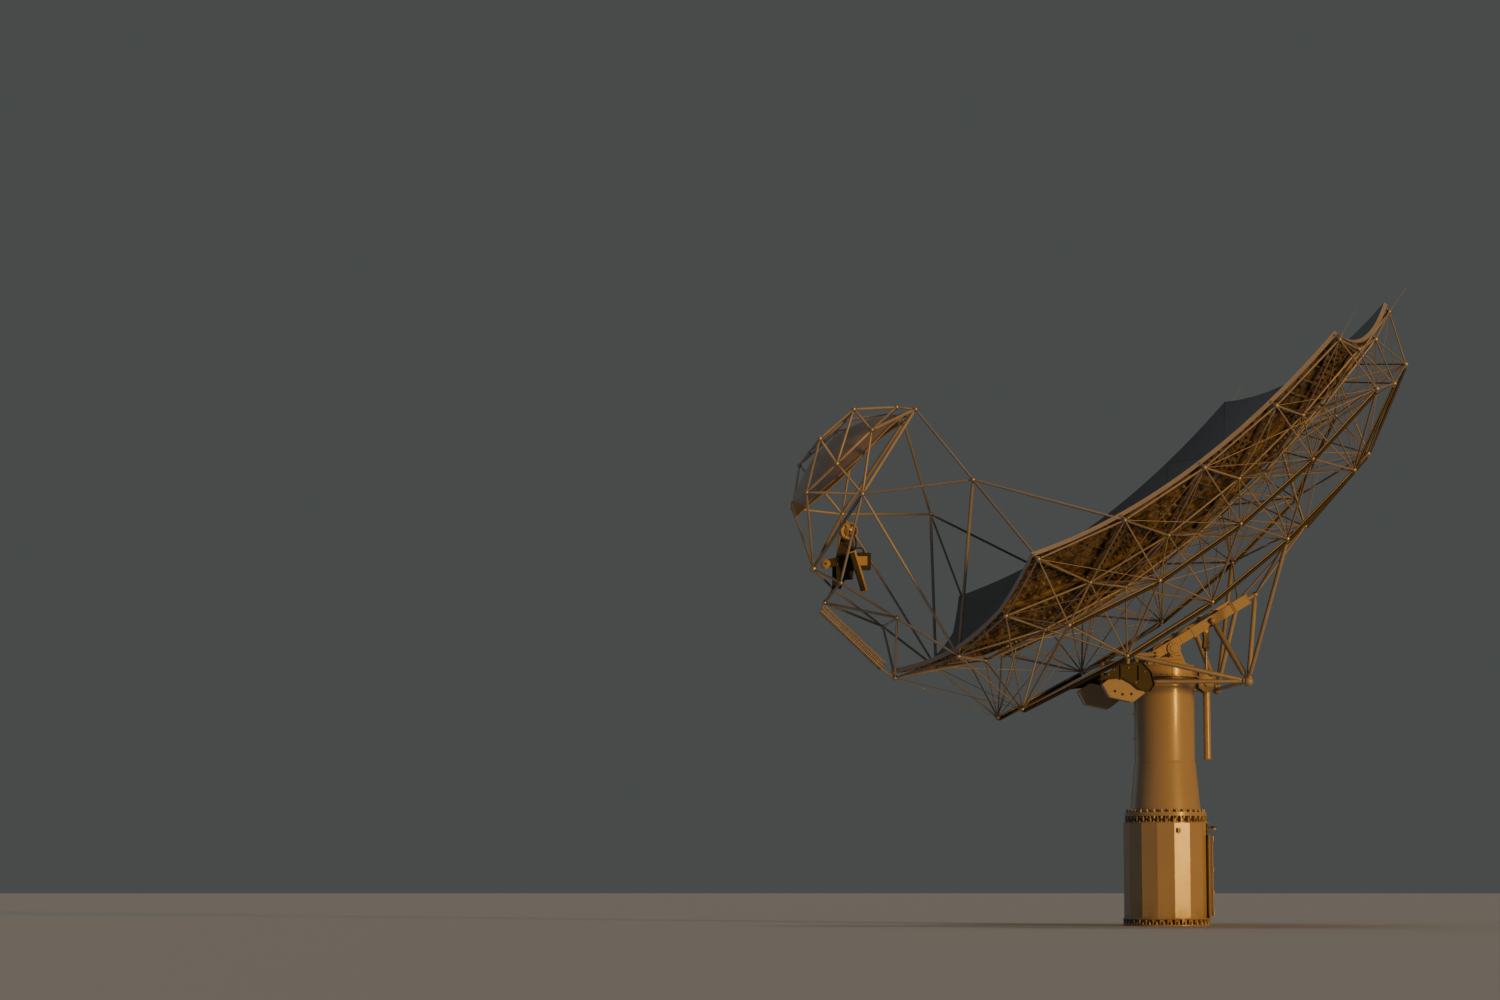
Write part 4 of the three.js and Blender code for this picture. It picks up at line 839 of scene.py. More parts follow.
# Two plates whose outline carries a folded flange, with a hub on each and a web behind
def buildBracket(s):
    shape = Shape()
    x, z, reach = s["x"], s["pivotZ"], s["reach"]
    foot = z - 0.26
    outline = [(0.94, foot + 0.42), (0.94, foot + 0.14), (x - 0.06, foot), (reach - 0.04, foot + 0.07)]
    outline += [(reach, foot + 0.11), (reach, z + 0.11), (reach - 0.03, z + 0.14), (0.97, z + 0.33)]
    boss = [(-0.069, 0.11), (0.012, 0.11), (0.018, 0.104), (0.018, 0.06), (0.03, 0.055)]
    for side in (-1, 1):
        y0, y1 = s["cheekInner"], s["cheekInner"] + s["cheekThickness"]
        alongY(shape, outline, side * (y0 + 0.012), side * (y1 - 0.03), 0.003, 0, 0.3)
        middle, half = side * (y0 + y1) / 2, ((y1 - y0) / 2, 0.007)
        addFolds(shape, outline[1:6], outline[2:7], middle, half, 0, 0, 0.002, 0.3)
        shape.turn((x, side * y1, z), side * acrossY, boss, 32, 0, 0.4)
        boltCircle(shape, x, side * (y1 + 0.0185), z, 0.085, 6, side * acrossY, 0.022, 0.2, 0)
    low, high = s["webFoot"], s["webTop"]
    levelBoxes(shape, (0.9615, 0, (high + low) / 2), (0.021, (high - low) / 2, 0.268), 0.004, 0, 0.3)
    makePiece("screw_bracket_cheeks", shape, [cream, zinc], "turnhead", ["screw_bracket"])


# Screw drive: gear housing on trunnions, with ribs, a collar and a motor on its side
def buildDrive(s):
    shape = Shape()
    x, z = s["x"], s["pivotZ"]
    hole = 0.0475
    low = [(-0.185, 0.10), (-0.18, 0.115), (-0.15, 0.115), (-0.145, 0.145)]
    high = [(0.10, 0.145), (0.11, 0.135), (0.14, 0.095), (0.186, 0.09), (0.186, hole), (-0.185, hole)]
    ringsAbout(shape, x, [(z + h, r) for h, r in low + high], 32, 0.4, looped=True)
    for side in (-1, 1):
        trunnion = [(0, 0.1), (0.03, 0.095), (0.04, 0.06), (0.079, 0.06)]
        shape.turn((x, side * 0.12, z), side * acrossY, trunnion, 28, 0, 0.4)
    out = polar(np.arange(0, 360, 45), 1.0, 0.0)
    ribs = np.array([x, 0, z]) + out * 0.146
    shape.boxes(ribs, out, upright, np.cross(upright, out), (0.012, 0.09, 0.006), 0.002, 0, 0.5)
    motor = [(0, 0.06), (0.03, 0.06), (0.035, 0.05), (0.05, 0.05)]
    shape.turn((x + 0.12, 0.0, z - 0.05), acrossX, motor, 24, 0, 0.3)
    makePiece("screw_gear_housing", shape, [steel, zinc], "screw_drive", ["screw_drive"])


# Rings of a tube with a closed foot, flanges and a bore
def buildCoverTube(s):
    shape = Shape()
    x, top = s["x"], s["pivotZ"] - 0.19 - 0.0003
    outer, bore, foot = s["tubeRadius"], s["tubeBore"], s["tubeFoot"]
    wall = outer - 0.006
    sleeve = [(0, 0.02), (0, outer - 0.01), (0.004, outer - 0.003), (0.012, outer), (0.05, outer)]
    sleeve += [(0.056, wall), (0.9, wall), (0.905, outer - 0.001), (0.93, outer - 0.001), (0.935, wall)]
    flange = [(top - 0.05, wall), (top - 0.045, outer + 0.012), (top, outer + 0.012), (top, bore)]
    profile = [(foot + h, r) for h, r in sleeve] + flange + [(foot + 0.04, bore), (foot + 0.04, 0.02)]
    ringsAbout(shape, x, profile, 40, 0.4)
    ring = np.radians(60 * np.arange(6))
    spots = np.stack([x + 0.109 * np.cos(ring), 0.109 * np.sin(ring), np.full(6, top - 0.046)], 1)
    shape.bolts(spots, -upright, 0.018, 1, 0.3)
    makePiece("screw_tube", shape, [cream, zinc], "screw_drive", ["screw_cover_tube"])


# Screw with a rolled thread: the radius swings with height and angle along a helix
def buildScrew(s):
    shape = Shape()
    low, high = s["pivotZ"] - 1.2, s["pinZ"] - 0.45
    pitch, turns = 0.04, int((high - low) / 0.04)
    heights = np.linspace(low, high, turns * 8 + 1)
    angle = 2 * np.pi * np.arange(20) / 20
    wave = np.cos(2 * np.pi * heights[:, None] / pitch - angle[None])
    radius = s["rod"] - 0.0015 - 0.004 * np.clip(0.5 - wave, 0, 1)
    level = np.broadcast_to(heights[:, None], radius.shape)
    shape.loft(np.stack([s["x"] + radius * np.cos(angle), radius * np.sin(angle), level], -1), 0, 0.2)
    head = s["pinZ"] - 0.39
    flatBoxes(shape, (s["x"], 0, head), (s["forkHalf"], s["forkInner"] - 0.0006, 0.09), 0.006, 1, 0.4)
    shape.turn((s["x"], 0, s["pinZ"] - 0.56), upright, [(0, 0.05), (0.02, 0.07), (0.09, 0.07)], 24, 1, 0.4)
    makePiece("screw_rod", shape, [zinc, steel], "screw", ["elevation_screw"])


# Two plates, wide at the foot and round at the top, with the pin's cap and four bolts on each
def buildForks(s):
    x, pin, inner, half = s["x"], s["pinZ"], s["forkInner"], s["forkHalf"]
    foot, outer = pin - s["forkDrop"], s["forkInner"] + s["forkThickness"]
    rise = [(half, foot), (half, foot + 0.14), (0.07, foot + 0.20), (0.07, pin - 0.12)]
    outline = [(x - half, foot)] + [(x + u, v) for u, v in rise] + arc((x, pin + 0.015), half, -20, 200, 16)
    outline += [(x - u, v) for u, v in rise[:0:-1]]
    cap = [(0, 0.055), (0.014, 0.055), (0.018, 0.05), (0.018, 0.036), (0.026, 0.033)]
    for name, side in sides.items():
        shape = Shape()
        alongY(shape, outline, side * inner, side * outer, 0.004, 0, 0.4)
        shape.turn((x, side * (outer - 0.002), pin), side * acrossY, cap, 24, 1, 0.4)
        spots = [(x + a, side * outer, foot + b) for a in (-0.06, 0.06) for b in (0.035, 0.105)]
        shape.bolts(np.array(spots), side * acrossY, 0.032, 1, 0.3)
        stands = ["screw_fork_" + name]
        makePiece("screw_fork_plate_" + name, shape, [steel, zinc], "screw", stands)


buildRing(turnheadLooks)
buildPlates(turnheadLooks)
for buildPiece in (buildBracket, buildDrive, buildCoverTube, buildScrew, buildForks):
    buildPiece(screwLooks)
print("turnhead and screw built")

# Main reflector: a paraboloid whose beam leaves towards -X
mirror = {
    "vertex": (-7.8, 7.11), "beam": 85.87, "focal": 5.95, "rows": (0.0, 2.35, 4.62, 6.85), "edges": 7,
    "starts": (0.14, 1.60, 2.60, 3.20), "ends": (14.99, 13.89, 12.79, 11.69), "inset": 0.05, "overhang": 0.03,
    "frontDepth": 0.26, "rearDepth": 2.15, "thinning": 0.70, "thinWidth": 5.4, "endRise": 0.65,
    "rearShift": 0.18, "rearStart": (2.86, 1.95, 2.05), "middleFirst": 4,
}
beamWay = np.array([-math.cos(math.radians(mirror["beam"])), 0, math.sin(math.radians(mirror["beam"]))])
alongWay = np.array([math.sin(math.radians(mirror["beam"])), 0, math.cos(math.radians(mirror["beam"]))])


# Vertex + x along the aperture + w across + height of the paraboloid, then straight behind its face
def mirrorPoint(x, w, behind=0.0):
    x, w, behind = (np.asarray(v, float) for v in np.broadcast_arrays(x, w, behind))
    slope = 1 / (2 * mirror["focal"])
    height = (x * x + w * w) / (4 * mirror["focal"])
    normal = beamWay - (x * slope)[..., None] * alongWay - (w * slope)[..., None] * acrossY
    normal /= norm(normal, axis=-1, keepdims=True)
    x, w, height, behind = (v[..., None] for v in (x, w, height, behind))
    start = np.array([mirror["vertex"][0], 0, mirror["vertex"][1]])
    return start + x * alongWay + w * acrossY + height * beamWay - behind * normal


# Length of the parabola from the vertex to x
def arcTo(x):
    s = x / (2 * mirror["focal"])
    return mirror["focal"] * (s * math.hypot(1, s) + math.asinh(s))


# The place along the aperture whose arc from the vertex has a given length, by Newton's steps
def atArc(length):
    x = length
    for _ in range(12):
        x -= (arcTo(x) - length) / math.hypot(1, x / (2 * mirror["focal"]))
    return x


# A panel joint's place on the aperture: equal arcs between the start and the end of its row
def jointAt(row, number):
    low, high = mirror["starts"][abs(row)], mirror["ends"][abs(row)]
    x = atArc(arcTo(low) + (arcTo(high) - arcTo(low)) * number / (mirror["edges"] - abs(row)))
    return x, math.copysign(mirror["rows"][abs(row)], row)


# The joint's place; where it lies on the rim, it moves out by an overhang, or in where that is negative
def rimPlace(row, number, overhang):
    x, w = jointAt(row, number)
    outermost = abs(row) == len(mirror["rows"]) - 1
    along = -overhang if number == 0 else overhang if number == mirror["edges"] - abs(row) else 0.0
    return x + along, w + (math.copysign(overhang, row) if outermost else 0.0)


# A ball joint behind the corner where panels meet
def frontJoint(row, number):
    return mirrorPoint(*rimPlace(row, number, -mirror["inset"]), mirror["frontDepth"])


# Behind the middle of each panel of one kind, shallower towards the sides and the upper end
def rearJoint(row, number):
    if number == 0 and abs(row) == 1:
        x, w, depth = mirror["rearStart"]
        return mirrorPoint(x, math.copysign(w, row), depth)
    places = [jointAt(row, number), jointAt(row, number + 1)]
    if row:
        places.append(jointAt(row + (1 if row > 0 else -1), number))
    x = sum(p[0] for p in places) / len(places) + mirror["rearShift"]
    w = sum(p[1] for p in places) / len(places)
    atUpperEnd = abs(row) < 2 and number == mirror["edges"] - abs(row) - 1
    rise = mirror["endRise"] if atUpperEnd else 0
    return mirrorPoint(x, w, mirror["rearDepth"] - mirror["thinning"] * (w / mirror["thinWidth"]) ** 4 - rise)


# Tubes between joints: bolt, sleeve and cone at each end, each outside its own ball
tubeEnd = {"bolt": 0.013, "sleeve": 0.024, "sleeveLength": 0.05, "cone": 0.13}


# Each tube is turned between two balls: the steps of its start, and the same steps back from its end
def addTubes(shape, members, count=12, paintedShadeFloor=0.0):
    starts, ends, radii, ballA, ballB = (np.array(v, float) for v in zip(*members))
    way = ends - starts
    length = norm(way, axis=1)
    bolt, sleeve, reach, cone = (tubeEnd[key] for key in ("bolt", "sleeve", "sleeveLength", "cone"))
    steps = []
    for ball, sign, base in ((ballA, 1, 0.0), (ballB, -1, length)):
        end = [(ball * 0.9, bolt), (ball + 0.012, bolt), (ball + 0.014, sleeve)]
        end += [(ball + 0.014 + reach, sleeve), (ball + 0.02 + reach, radii * 0.72)]
        end += [(ball + reach + cone, radii)]
        steps += [(base + sign * d, r) for d, r in end][::sign]
    # tones run from the painted shade floor up to 1: a floor above 0 darkens the tubes as painted shade
    return shape.turn(starts, way, stepTable(steps), count, 0, chance.uniform(paintedShadeFloor, 1, len(radii)))


frameTubes = {"chord": 0.028, "diagonal": 0.022, "ball": 0.078}
ballOf = frameTubes["ball"]
chordSizes, diagonalSizes = ((frameTubes[kind], ballOf, ballOf) for kind in ("chord", "diagonal"))


# Chords along and between rows of front joints, their balls, and adjuster studs up to the panels
def buildFront(name, rows, links, rods):
    shape = Shape()
    members, joints = [], []
    for row in rows:
        edges = mirror["edges"] - abs(row)
        points = [frontJoint(row, n) for n in range(edges + 1)]
        joints += points
        members += [(a, b, *chordSizes) for a, b in zip(points, points[1:])]
    for first, second in links:
        wide, narrow = sorted((first, second), key=abs)
        for n in range(mirror["edges"] - abs(narrow) + 1):
            for other in (n, n + 1):
                members.append((frontJoint(narrow, n), frontJoint(wide, other), *chordSizes))
    addTubes(shape, members)
    shape.balls(np.stack(joints), ballOf, finish=1)
    studs = []
    for row in rows:
        for n in range(mirror["edges"] - abs(row) + 1):
            tip = mirrorPoint(*rimPlace(row, n, -0.02), panelLook["depth"] - 0.004)
            studs.append((frontJoint(row, n), tip))
    start, end = (np.stack(v) for v in zip(*studs))
    way = end - start
    length = norm(way, axis=1)
    steps = [(0.06, 0.02), (length * 0.45, 0.02), (length * 0.46, 0.034), (length * 0.62, 0.034)]
    steps += [(length * 0.63, 0.014), (length - 0.012, 0.014)]
    steps += [(length - 0.010, 0.062), (length + 0.002, 0.062)]
    shape.turn(start, way, stepTable(steps), 12, 1)
    for at, tip in rods:
        span = np.asarray(tip) - at
        size = norm(span)
        rod = [(0.06, 0.018), (0.18, 0.018), (0.185, 0.008), (size - 0.02, 0.005), (size, 0.002)]
        shape.turn(at, span, rod, 10, 0, 0.9)
    makePiece("front_lattice_" + name, shape, [white, zinc], "dish", ["front_frame_" + name])


# Adds a row of rear joints, the chords along it and three or four diagonals to the front joints
def rearRow(row, members, joints):
    side = (row > 0) - (row < 0)
    first = mirror["middleFirst"] if row == 0 else 0
    last = mirror["edges"] - abs(row)
    for n in range(first, last):
        here = rearJoint(row, n)
        joints.append(here)
        if n + 1 < last:
            members.append((here, rearJoint(row, n + 1), *chordSizes))
        corners = [(row, n), (row, n + 1), (row + (side or 1), n)]
        corners += [(-1, n)] if side == 0 else []
        corners += [(0, n + 1)] if abs(row) == 1 else []
        members += [(here, frontJoint(r, k), *diagonalSizes) for r, k in corners]


frameLooks = {
    "kBall": 0.14, "kTube": 0.065, "corner": (1.95, 2.05, 6.70), "side": (-1.37, 2.05, 7.41),
    "girderStart": (-0.56, 7.41), "girderEnd": (2.17, 9.05), "inner": 1.0, "width": 0.24,
    "shares": (0.04, 0.62), "tip": 1.08, "beam": (1.30, 8.62, 0.10),
    "sections": ((0.012, 0.42, 0.110, 0.128, 0.3), (0.42, 0.83, 0.116, 0.140, 0.5),
                 (0.85, 0.99, 0.1195, 0.1495, 0.4)),
    "ballast": (-1.53, 6.48), "ballastInner": 1.72, "ballastThickness": 0.38,
    "ballastHalf": (0.60, 0.33, 0.31), "lean": -12.0, "carrierBall": (-0.79, 2.05, 6.68),
    "carrierThickness": 0.09,
    "carrier": ((-2.26, 6.70), (-1.58, 6.76), (-1.31, 6.61), (-1.12, 6.45),
                (-0.81, 6.39), (-0.67, 6.58), (-0.76, 6.94), (-1.00, 7.20), (-1.67, 7.13)),
}


# A place at a share of the girder's length
def onGirder(share, side, offset=None):
    s = frameLooks
    x = s["girderStart"][0] + (s["girderEnd"][0] - s["girderStart"][0]) * share
    z = s["girderStart"][1] + (s["girderEnd"][1] - s["girderStart"][1]) * share
    return np.array([x, side * (s["inner"] + s["width"] + 0.06 if offset is None else offset), z])


# Past the girder's end, in its middle plane
def girderTip(side, share=None):
    s = frameLooks
    return onGirder(s["tip"] if share is None else share, side, s["inner"] + s["width"] / 2)


# A place with its distance from the plane of symmetry on one side
def mirrored(place, side):
    return np.array([place[0], side * place[1], place[2]])


# Thin rods from each rear joint to the front joints that come next in distance after its diagonals
thinRods = {
    # the last three sizes are of the black tubes that stand as painted shade under the rear chords
    "skip": 3, "count": 6, "radius": 0.009, "shadeConduit": 0.040, "shadeConduitDrop": 0.075, "shadeConduitEnd": 0.05,
}


# Orders the front joints by distance from each rear joint, and turns a thin rod to each that counts
def addThinRods(shape, joints):
    s = thinRods
    fronts = [frontJoint(row, n) for row in range(-3, 4) for n in range(mirror["edges"] - abs(row) + 1)]
    fronts, rears = np.stack(fronts), np.stack(joints)
    distance = norm(rears[:, None] - fronts[None], axis=2)
    order = np.argsort(distance, 1)[:, s["skip"]:s["skip"] + s["count"]]
    starts, ends = np.repeat(rears, s["count"], 0), fronts[order].reshape(-1, 3)
    length = norm(ends - starts, axis=1)
    table = stepTable([(ballOf, s["radius"]), (length - ballOf, s["radius"])])
    # the thin rods take a tone near the darkest, as painted shade
    shape.turn(starts, ends - starts, table, 6, 0, 0.95)


# Two black tubes under each rear chord, shaped as conduits: a dark mass of painted shade along the rear
def addShadeConduits(shape, chords):
    s = thinRods
    starts, ends = (np.stack(v) for v in zip(*chords))
    way = ends - starts
    length = norm(way, axis=1)
    aside = np.cross(way, upright) / length[:, None]
    end, radius = s["shadeConduitEnd"], s["shadeConduit"]
    table = stepTable([(end, radius), (length - end, radius)])
    for shift in (-1, 1):
        places = starts + shift * radius * 1.05 * aside - s["shadeConduitDrop"] * upright
        shape.turn(places, way, table, 8, 2, 0.3)


# Pairs of neighbouring joints on one row of rear chords
def rearChords(row):
    first = mirror["middleFirst"] if row == 0 else 0
    joints = [rearJoint(row, n) for n in range(first, mirror["edges"] - abs(row))]
    return list(zip(joints, joints[1:]))


# The rear half of the space frame: one piece a side, and the short row in the middle
def buildRear():
    for name, side in sides.items():
        shape = Shape()
        members, joints = [], []
        rearRow(side, members, joints)
        rearRow(2 * side, members, joints)
        for n in range(mirror["edges"] - 2):
            for k in (n, n + 1):
                members.append((rearJoint(2 * side, n), rearJoint(side, k), *chordSizes))
        members.append((rearJoint(side, 3), girderTip(side), *chordSizes))
        # the rear tubes take darker tones, as painted shade
        addTubes(shape, members, paintedShadeFloor=0.6)
        shape.balls(np.stack(joints), ballOf, finish=1)
        addThinRods(shape, joints)
        addShadeConduits(shape, rearChords(side) + rearChords(2 * side))
        stands = ["rear_frame_" + name]
        makePiece("rear_lattice_" + name, shape, [white, zinc, black], "dish", stands)
    shape = Shape()
    members, joints = [], []
    rearRow(0, members, joints)
    for side in (-1, 1):
        members.append((rearJoint(0, mirror["middleFirst"]), girderTip(side), *chordSizes))
        for n in range(mirror["middleFirst"], mirror["edges"]):
            for k in (n - 1, n):
                if k < mirror["edges"] - 1:
                    members.append((rearJoint(0, n), rearJoint(side, k), *chordSizes))
    # the rear tubes take darker tones, as painted shade
    addTubes(shape, members, paintedShadeFloor=0.6)
    shape.balls(np.stack(joints), ballOf, finish=1)
    addThinRods(shape, joints)
    addShadeConduits(shape, rearChords(0))
    makePiece("rear_lattice_middle", shape, [white, zinc, black], "dish", ["rear_frame_middle"])


# The tip of a lightning rod, which leans back from its joint
def rodTip(joint, lean):
    length = 0.9
    return joint + length * np.array([lean, 0, math.sqrt(1 - lean * lean)])


# Panels: a thin curved triangle, a folded frame round its back and ribs with openings between their posts
panelLook = {
    "steps": 8, "seam": 0.008, "skin": 0.006, "depth": 0.10, "web": 0.006, "flange": 0.040,
    "ribFlange": 0.034, "ribPitch": 0.30, "ribDepth": 0.088, "post": 0.075, "postPitch": 0.20,
    "edgeIn": 0.004, "rim": 0.115,
}


buildRear()
for name, side in sides.items():
    joint = frontJoint(3 * side, 4)
    rods = [(joint, rodTip(joint, 0.5))]
    buildFront(name, (side, 2 * side, 3 * side), ((side, 2 * side), (2 * side, 3 * side)), rods)
top = frontJoint(0, mirror["edges"])
buildFront("middle", (0,), ((0, -1), (0, 1)), [(top, rodTip(top, 0.6))])
print("space frame built")


# All joints of a row, as places (x, w)
def rowPlaces(row, overhang):
    return [rimPlace(row, n, overhang) for n in range(mirror["edges"] - abs(row) + 1)]


# The triangles of one strip between two rows of joints, as places (x, w) on the aperture
def stripCorners(row, sign):
    edges = mirror["edges"] - row
    inner, outer = (rowPlaces(sign * r, mirror["overhang"]) for r in (row, row + 1))
    panels = [(inner[n], inner[n + 1], outer[n]) for n in range(edges)]
    panels += [(outer[n + 1], outer[n], inner[n + 1]) for n in range(edges - 1)]
    return np.array(panels)


# Moves the three sides of each triangle inwards by a distance
def shrink(corners, distance):
    sidesOf = norm(np.roll(corners, -1, 1) - np.roll(corners, 1, 1), axis=2)
    centre = np.sum(corners * sidesOf[..., None], 1, keepdims=True) / np.sum(sidesOf, 1)[:, None, None]
    a, b = corners[:, 1] - corners[:, 0], corners[:, 2] - corners[:, 0]
    area = np.abs(a[:, 0] * b[:, 1] - a[:, 1] * b[:, 0])
    radius = area / np.sum(sidesOf, 1)
    return centre + (corners - centre) * (1 - distance / radius)[:, None, None]


# A bar of rectangular section that follows the mirror's back between places (x, w), between two depths
def curvedBars(shape, starts, ends, width, low, high, steps=7, finish=0, tone=None):
    t = np.linspace(0, 1, steps)[None, :, None]
    line = starts[:, None] * (1 - t) + ends[:, None] * t
    way = ends - starts
    aside = np.stack([-way[:, 1], way[:, 0]], 1) / norm(way, axis=1)[:, None]
    edges = []
    for sign, depth in ((-1, low), (1, low), (1, high), (-1, high)):
        place = line + sign * width / 2 * aside[:, None]
        edges.append(mirrorPoint(place[..., 0], place[..., 1], depth))
    return shape.loft(np.stack(edges, 2), finish, tone)


# Each skin: a triangle's even grid on the mirror and a skin's thickness behind it, closed along the sides
def addPanels(shape, corners, s):
    m = s["steps"]
    corners = shrink(corners, s["seam"] / 2)
    i, j = np.meshgrid(np.arange(m + 1), np.arange(m + 1), indexing="ij")
    keep = i + j <= m
    number = np.full((m + 1, m + 1), -1)
    number[keep] = np.arange(keep.sum())
    share = np.stack([m - i[keep] - j[keep], i[keep], j[keep]], 1) / m
    place = np.einsum("kc,pcd->pkd", share, corners)
    front = mirrorPoint(place[..., 0], place[..., 1], 0.0)
    back = mirrorPoint(place[..., 0], place[..., 1], s["skin"])
    a, b = np.nonzero(i + j < m)
    tris = np.stack([number[a, b], number[a + 1, b], number[a, b + 1]], 1)
    a, b = np.nonzero(i + j < m - 1)
    tris = np.concatenate([tris, np.stack([number[a + 1, b], number[a + 1, b + 1], number[a, b + 1]], 1)])
    line = np.arange(m + 1)
    rim = np.concatenate([number[line, 0][:-1], number[line[::-1], line][:-1], number[0, line[::-1]][:-1]])
    rimNext = np.roll(rim, -1)
    size = keep.sum()
    cross = np.cross(front[:, tris[0, 1]] - front[:, tris[0, 0]], front[:, tris[0, 2]] - front[:, tris[0, 0]])
    faced = np.sum(cross * (front[:, 0] - back[:, 0]), 1) > 0
    for p in range(len(corners)):
        base = shape.count
        way = 1 if faced[p] else -1
        frontFaces = (base + tris)[:, ::way]
        backFaces = (base + size + tris)[:, ::-way]
        walls = np.stack([base + rimNext, base + rim, base + size + rim, base + size + rimNext], 1)[:, ::way]
        shape.caps += [(frontFaces, 1), (backFaces, 0)]
        shape.quads.append((walls, 0))
        shape.points += [front[p], back[p]]
        shape.tones.append(np.full(2 * size, chance.random()))
        shape.count += 2 * size
    addPanelFrames(shape, corners, s)


# Thin posts of a rib, evenly spaced along lines between places (x, w), from the skin down to its flange
def addPosts(shape, starts, ends, s):
    run = ends - starts
    length = norm(run, axis=1)
    counts = np.maximum(np.round(length / s["postPitch"]).astype(int), 1)
    line = np.repeat(np.arange(len(starts)), counts)
    number = np.arange(len(line)) - np.repeat(np.cumsum(counts) - counts, counts)
    centre = starts[line] + run[line] * ((number + 0.5) / counts[line])[:, None]
    way = (run / length[:, None])[line]
    aside = np.stack([-way[:, 1], way[:, 0]], 1)
    corners = []
    for a, b in ((-1, -1), (1, -1), (1, 1), (-1, 1)):
        corners.append(centre + a * s["post"] / 2 * way + b * s["web"] / 2 * aside)
    place = np.stack(corners, 1)
    rings = [mirrorPoint(place[..., 0], place[..., 1], depth) for depth in (s["skin"] - 0.001, s["ribDepth"])]
    shape.loft(np.stack(rings, 1), 0)


# Each side gets a web with a flange at its foot; the ribs run parallel to one side, which changes by panel
def addPanelFrames(shape, corners, s):
    outer = shrink(corners, s["edgeIn"] + s["web"] / 2)
    inner = shrink(corners, s["edgeIn"] + s["flange"] / 2)
    for k in range(3):
        curvedBars(shape, outer[:, k], outer[:, (k + 1) % 3], s["web"], s["skin"] - 0.001, s["depth"])
        curvedBars(shape, inner[:, k], inner[:, (k + 1) % 3], s["flange"], s["depth"] - 0.006, s["depth"])
    starts, ends = [], []
    for p, triangle in enumerate(inner):
        base, along, apex = np.roll(triangle, p % 3, 0)
        run = along - base
        tall = abs(run[0] * (apex - base)[1] - run[1] * (apex - base)[0]) / norm(run)
        count = int(tall / s["ribPitch"])
        level = (np.arange(1, count) / count)[:, None]
        starts.append(base + (apex - base) * level)
        ends.append(along + (apex - along) * level)
        starts.append(base[None] + (along - base) * 0.5)
        ends.append(base[None] + (along - base) * 0.5 + (apex - (base + along) / 2) * 0.94)
    starts, ends = np.concatenate(starts), np.concatenate(ends)
    curvedBars(shape, starts, ends, s["ribFlange"], s["ribDepth"], s["ribDepth"] + 0.005, 6)
    addPosts(shape, starts, ends, s)


# Painted band outside the frames along the rim, from one joint to the next
def addRim(shape, row, sign, s):
    inner, outer = (rowPlaces(sign * r, mirror["overhang"] + 0.005) for r in (row, row + 1))
    pairs = [(inner[0], outer[0]), (outer[-1], inner[-1])]
    if row == len(mirror["rows"]) - 2:
        pairs += list(zip(outer, outer[1:]))
    starts, ends = (np.array(v) for v in zip(*pairs))
    curvedBars(shape, starts, ends, 0.008, -0.004, s["rim"], 9, 2, 0.0)


# Each strip of panels with its part of the rim's band
def buildPanels(s):
    for name, side in sides.items():
        for row, place in enumerate(("inner", "middle", "outer")):
            shape = Shape()
            addPanels(shape, stripCorners(row, side), s)
            addRim(shape, row, side, s)
            # the panels' fronts take the dark face paint, which is painted shade
            finishes, stands = [metal, face, white], [f"panel_strip_{name}_{place}"]
            makePiece(f"panels_{name}_{place}", shape, finishes, "dish", stands)


buildPanels(panelLook)
print("panels built")


# Boxes along each girder with folded joints and ribs, the cover of its bearing, and seats for the space frame
def buildGirders(s):
    run = np.array([s["girderEnd"][0] - s["girderStart"][0], 0, s["girderEnd"][1] - s["girderStart"][1]])
    length = norm(run)
    along = run / length
    rise = np.cross(along, acrossY) * -1
    rise *= np.sign(rise[2])
    ways = (rise, acrossY, along)
    middle = s["inner"] + s["width"] / 2
    for name, side in sides.items():
        shape = Shape()
        start = np.array([s["girderStart"][0], side * middle, s["girderStart"][1]])
        for t0, t1, halfWide, halfDeep, tone in s["sections"]:
            centre = start + along * length * (t0 + t1) / 2
            shape.boxes(centre, *ways, (halfDeep, halfWide, length * (t1 - t0) / 2), 0.008, 0, tone)
        for t in (0.006, 0.42, 0.84, 0.995):
            for shift in (-0.012, 0.012):
                centre = start + along * (length * t + shift)
                shape.boxes(centre, *ways, (0.165, 0.1195, 0.011), 0.003, 0, 0.4)
        for t in (0.42, 0.84):
            behind = start + along * (length * t - 0.0235)
            spots = [behind + a * rise + b * acrossY for a in (-0.152, 0.152) for b in (-0.08, 0, 0.08)]
            shape.bolts(np.stack(spots), -along, 0.026, 1, 0.3)
        for t in (0.12, 0.3, 0.52, 0.7):
            centre = start + along * length * t
            shape.boxes(centre, *ways, (0.144, 0.1185, 0.008), 0.002, 0, 0.4)
        ax, az = turnheadLooks["axis"]
        hub = np.array([ax, side * (s["inner"] + s["width"]), az])
        cover = [(-0.02, 0.19), (0.03, 0.19), (0.035, 0.185), (0.035, 0.12), (0.06, 0.11), (0.062, 0.07)]
        shape.turn(hub, side * acrossY, cover, 40, 0, 0.4)
        boltCircle(shape, ax, hub[1] + side * 0.0355, az, 0.155, 12, side * acrossY, 0.028, 0.3)
        seats = np.stack([onGirder(share, side) for share in s["shares"]] + [girderTip(side)])
        shape.balls(seats, ballOf, finish=0)
        for seatPlace in seats[:2]:
            shape.turn(seatPlace, -side * acrossY, [(0.0, 0.05), (0.07, 0.06), (0.09, 0.09)], 20, 0, 0.4)
        tip = [(0, 0.07), (0.04, 0.07), (0.06, 0.05), (0.25, 0.05)]
        shape.turn(girderTip(side, 0.99), along, tip, 20, 0, 0.4)
        makePiece("girder_box_" + name, shape, [cream, zinc], "dish", ["girder_" + name])


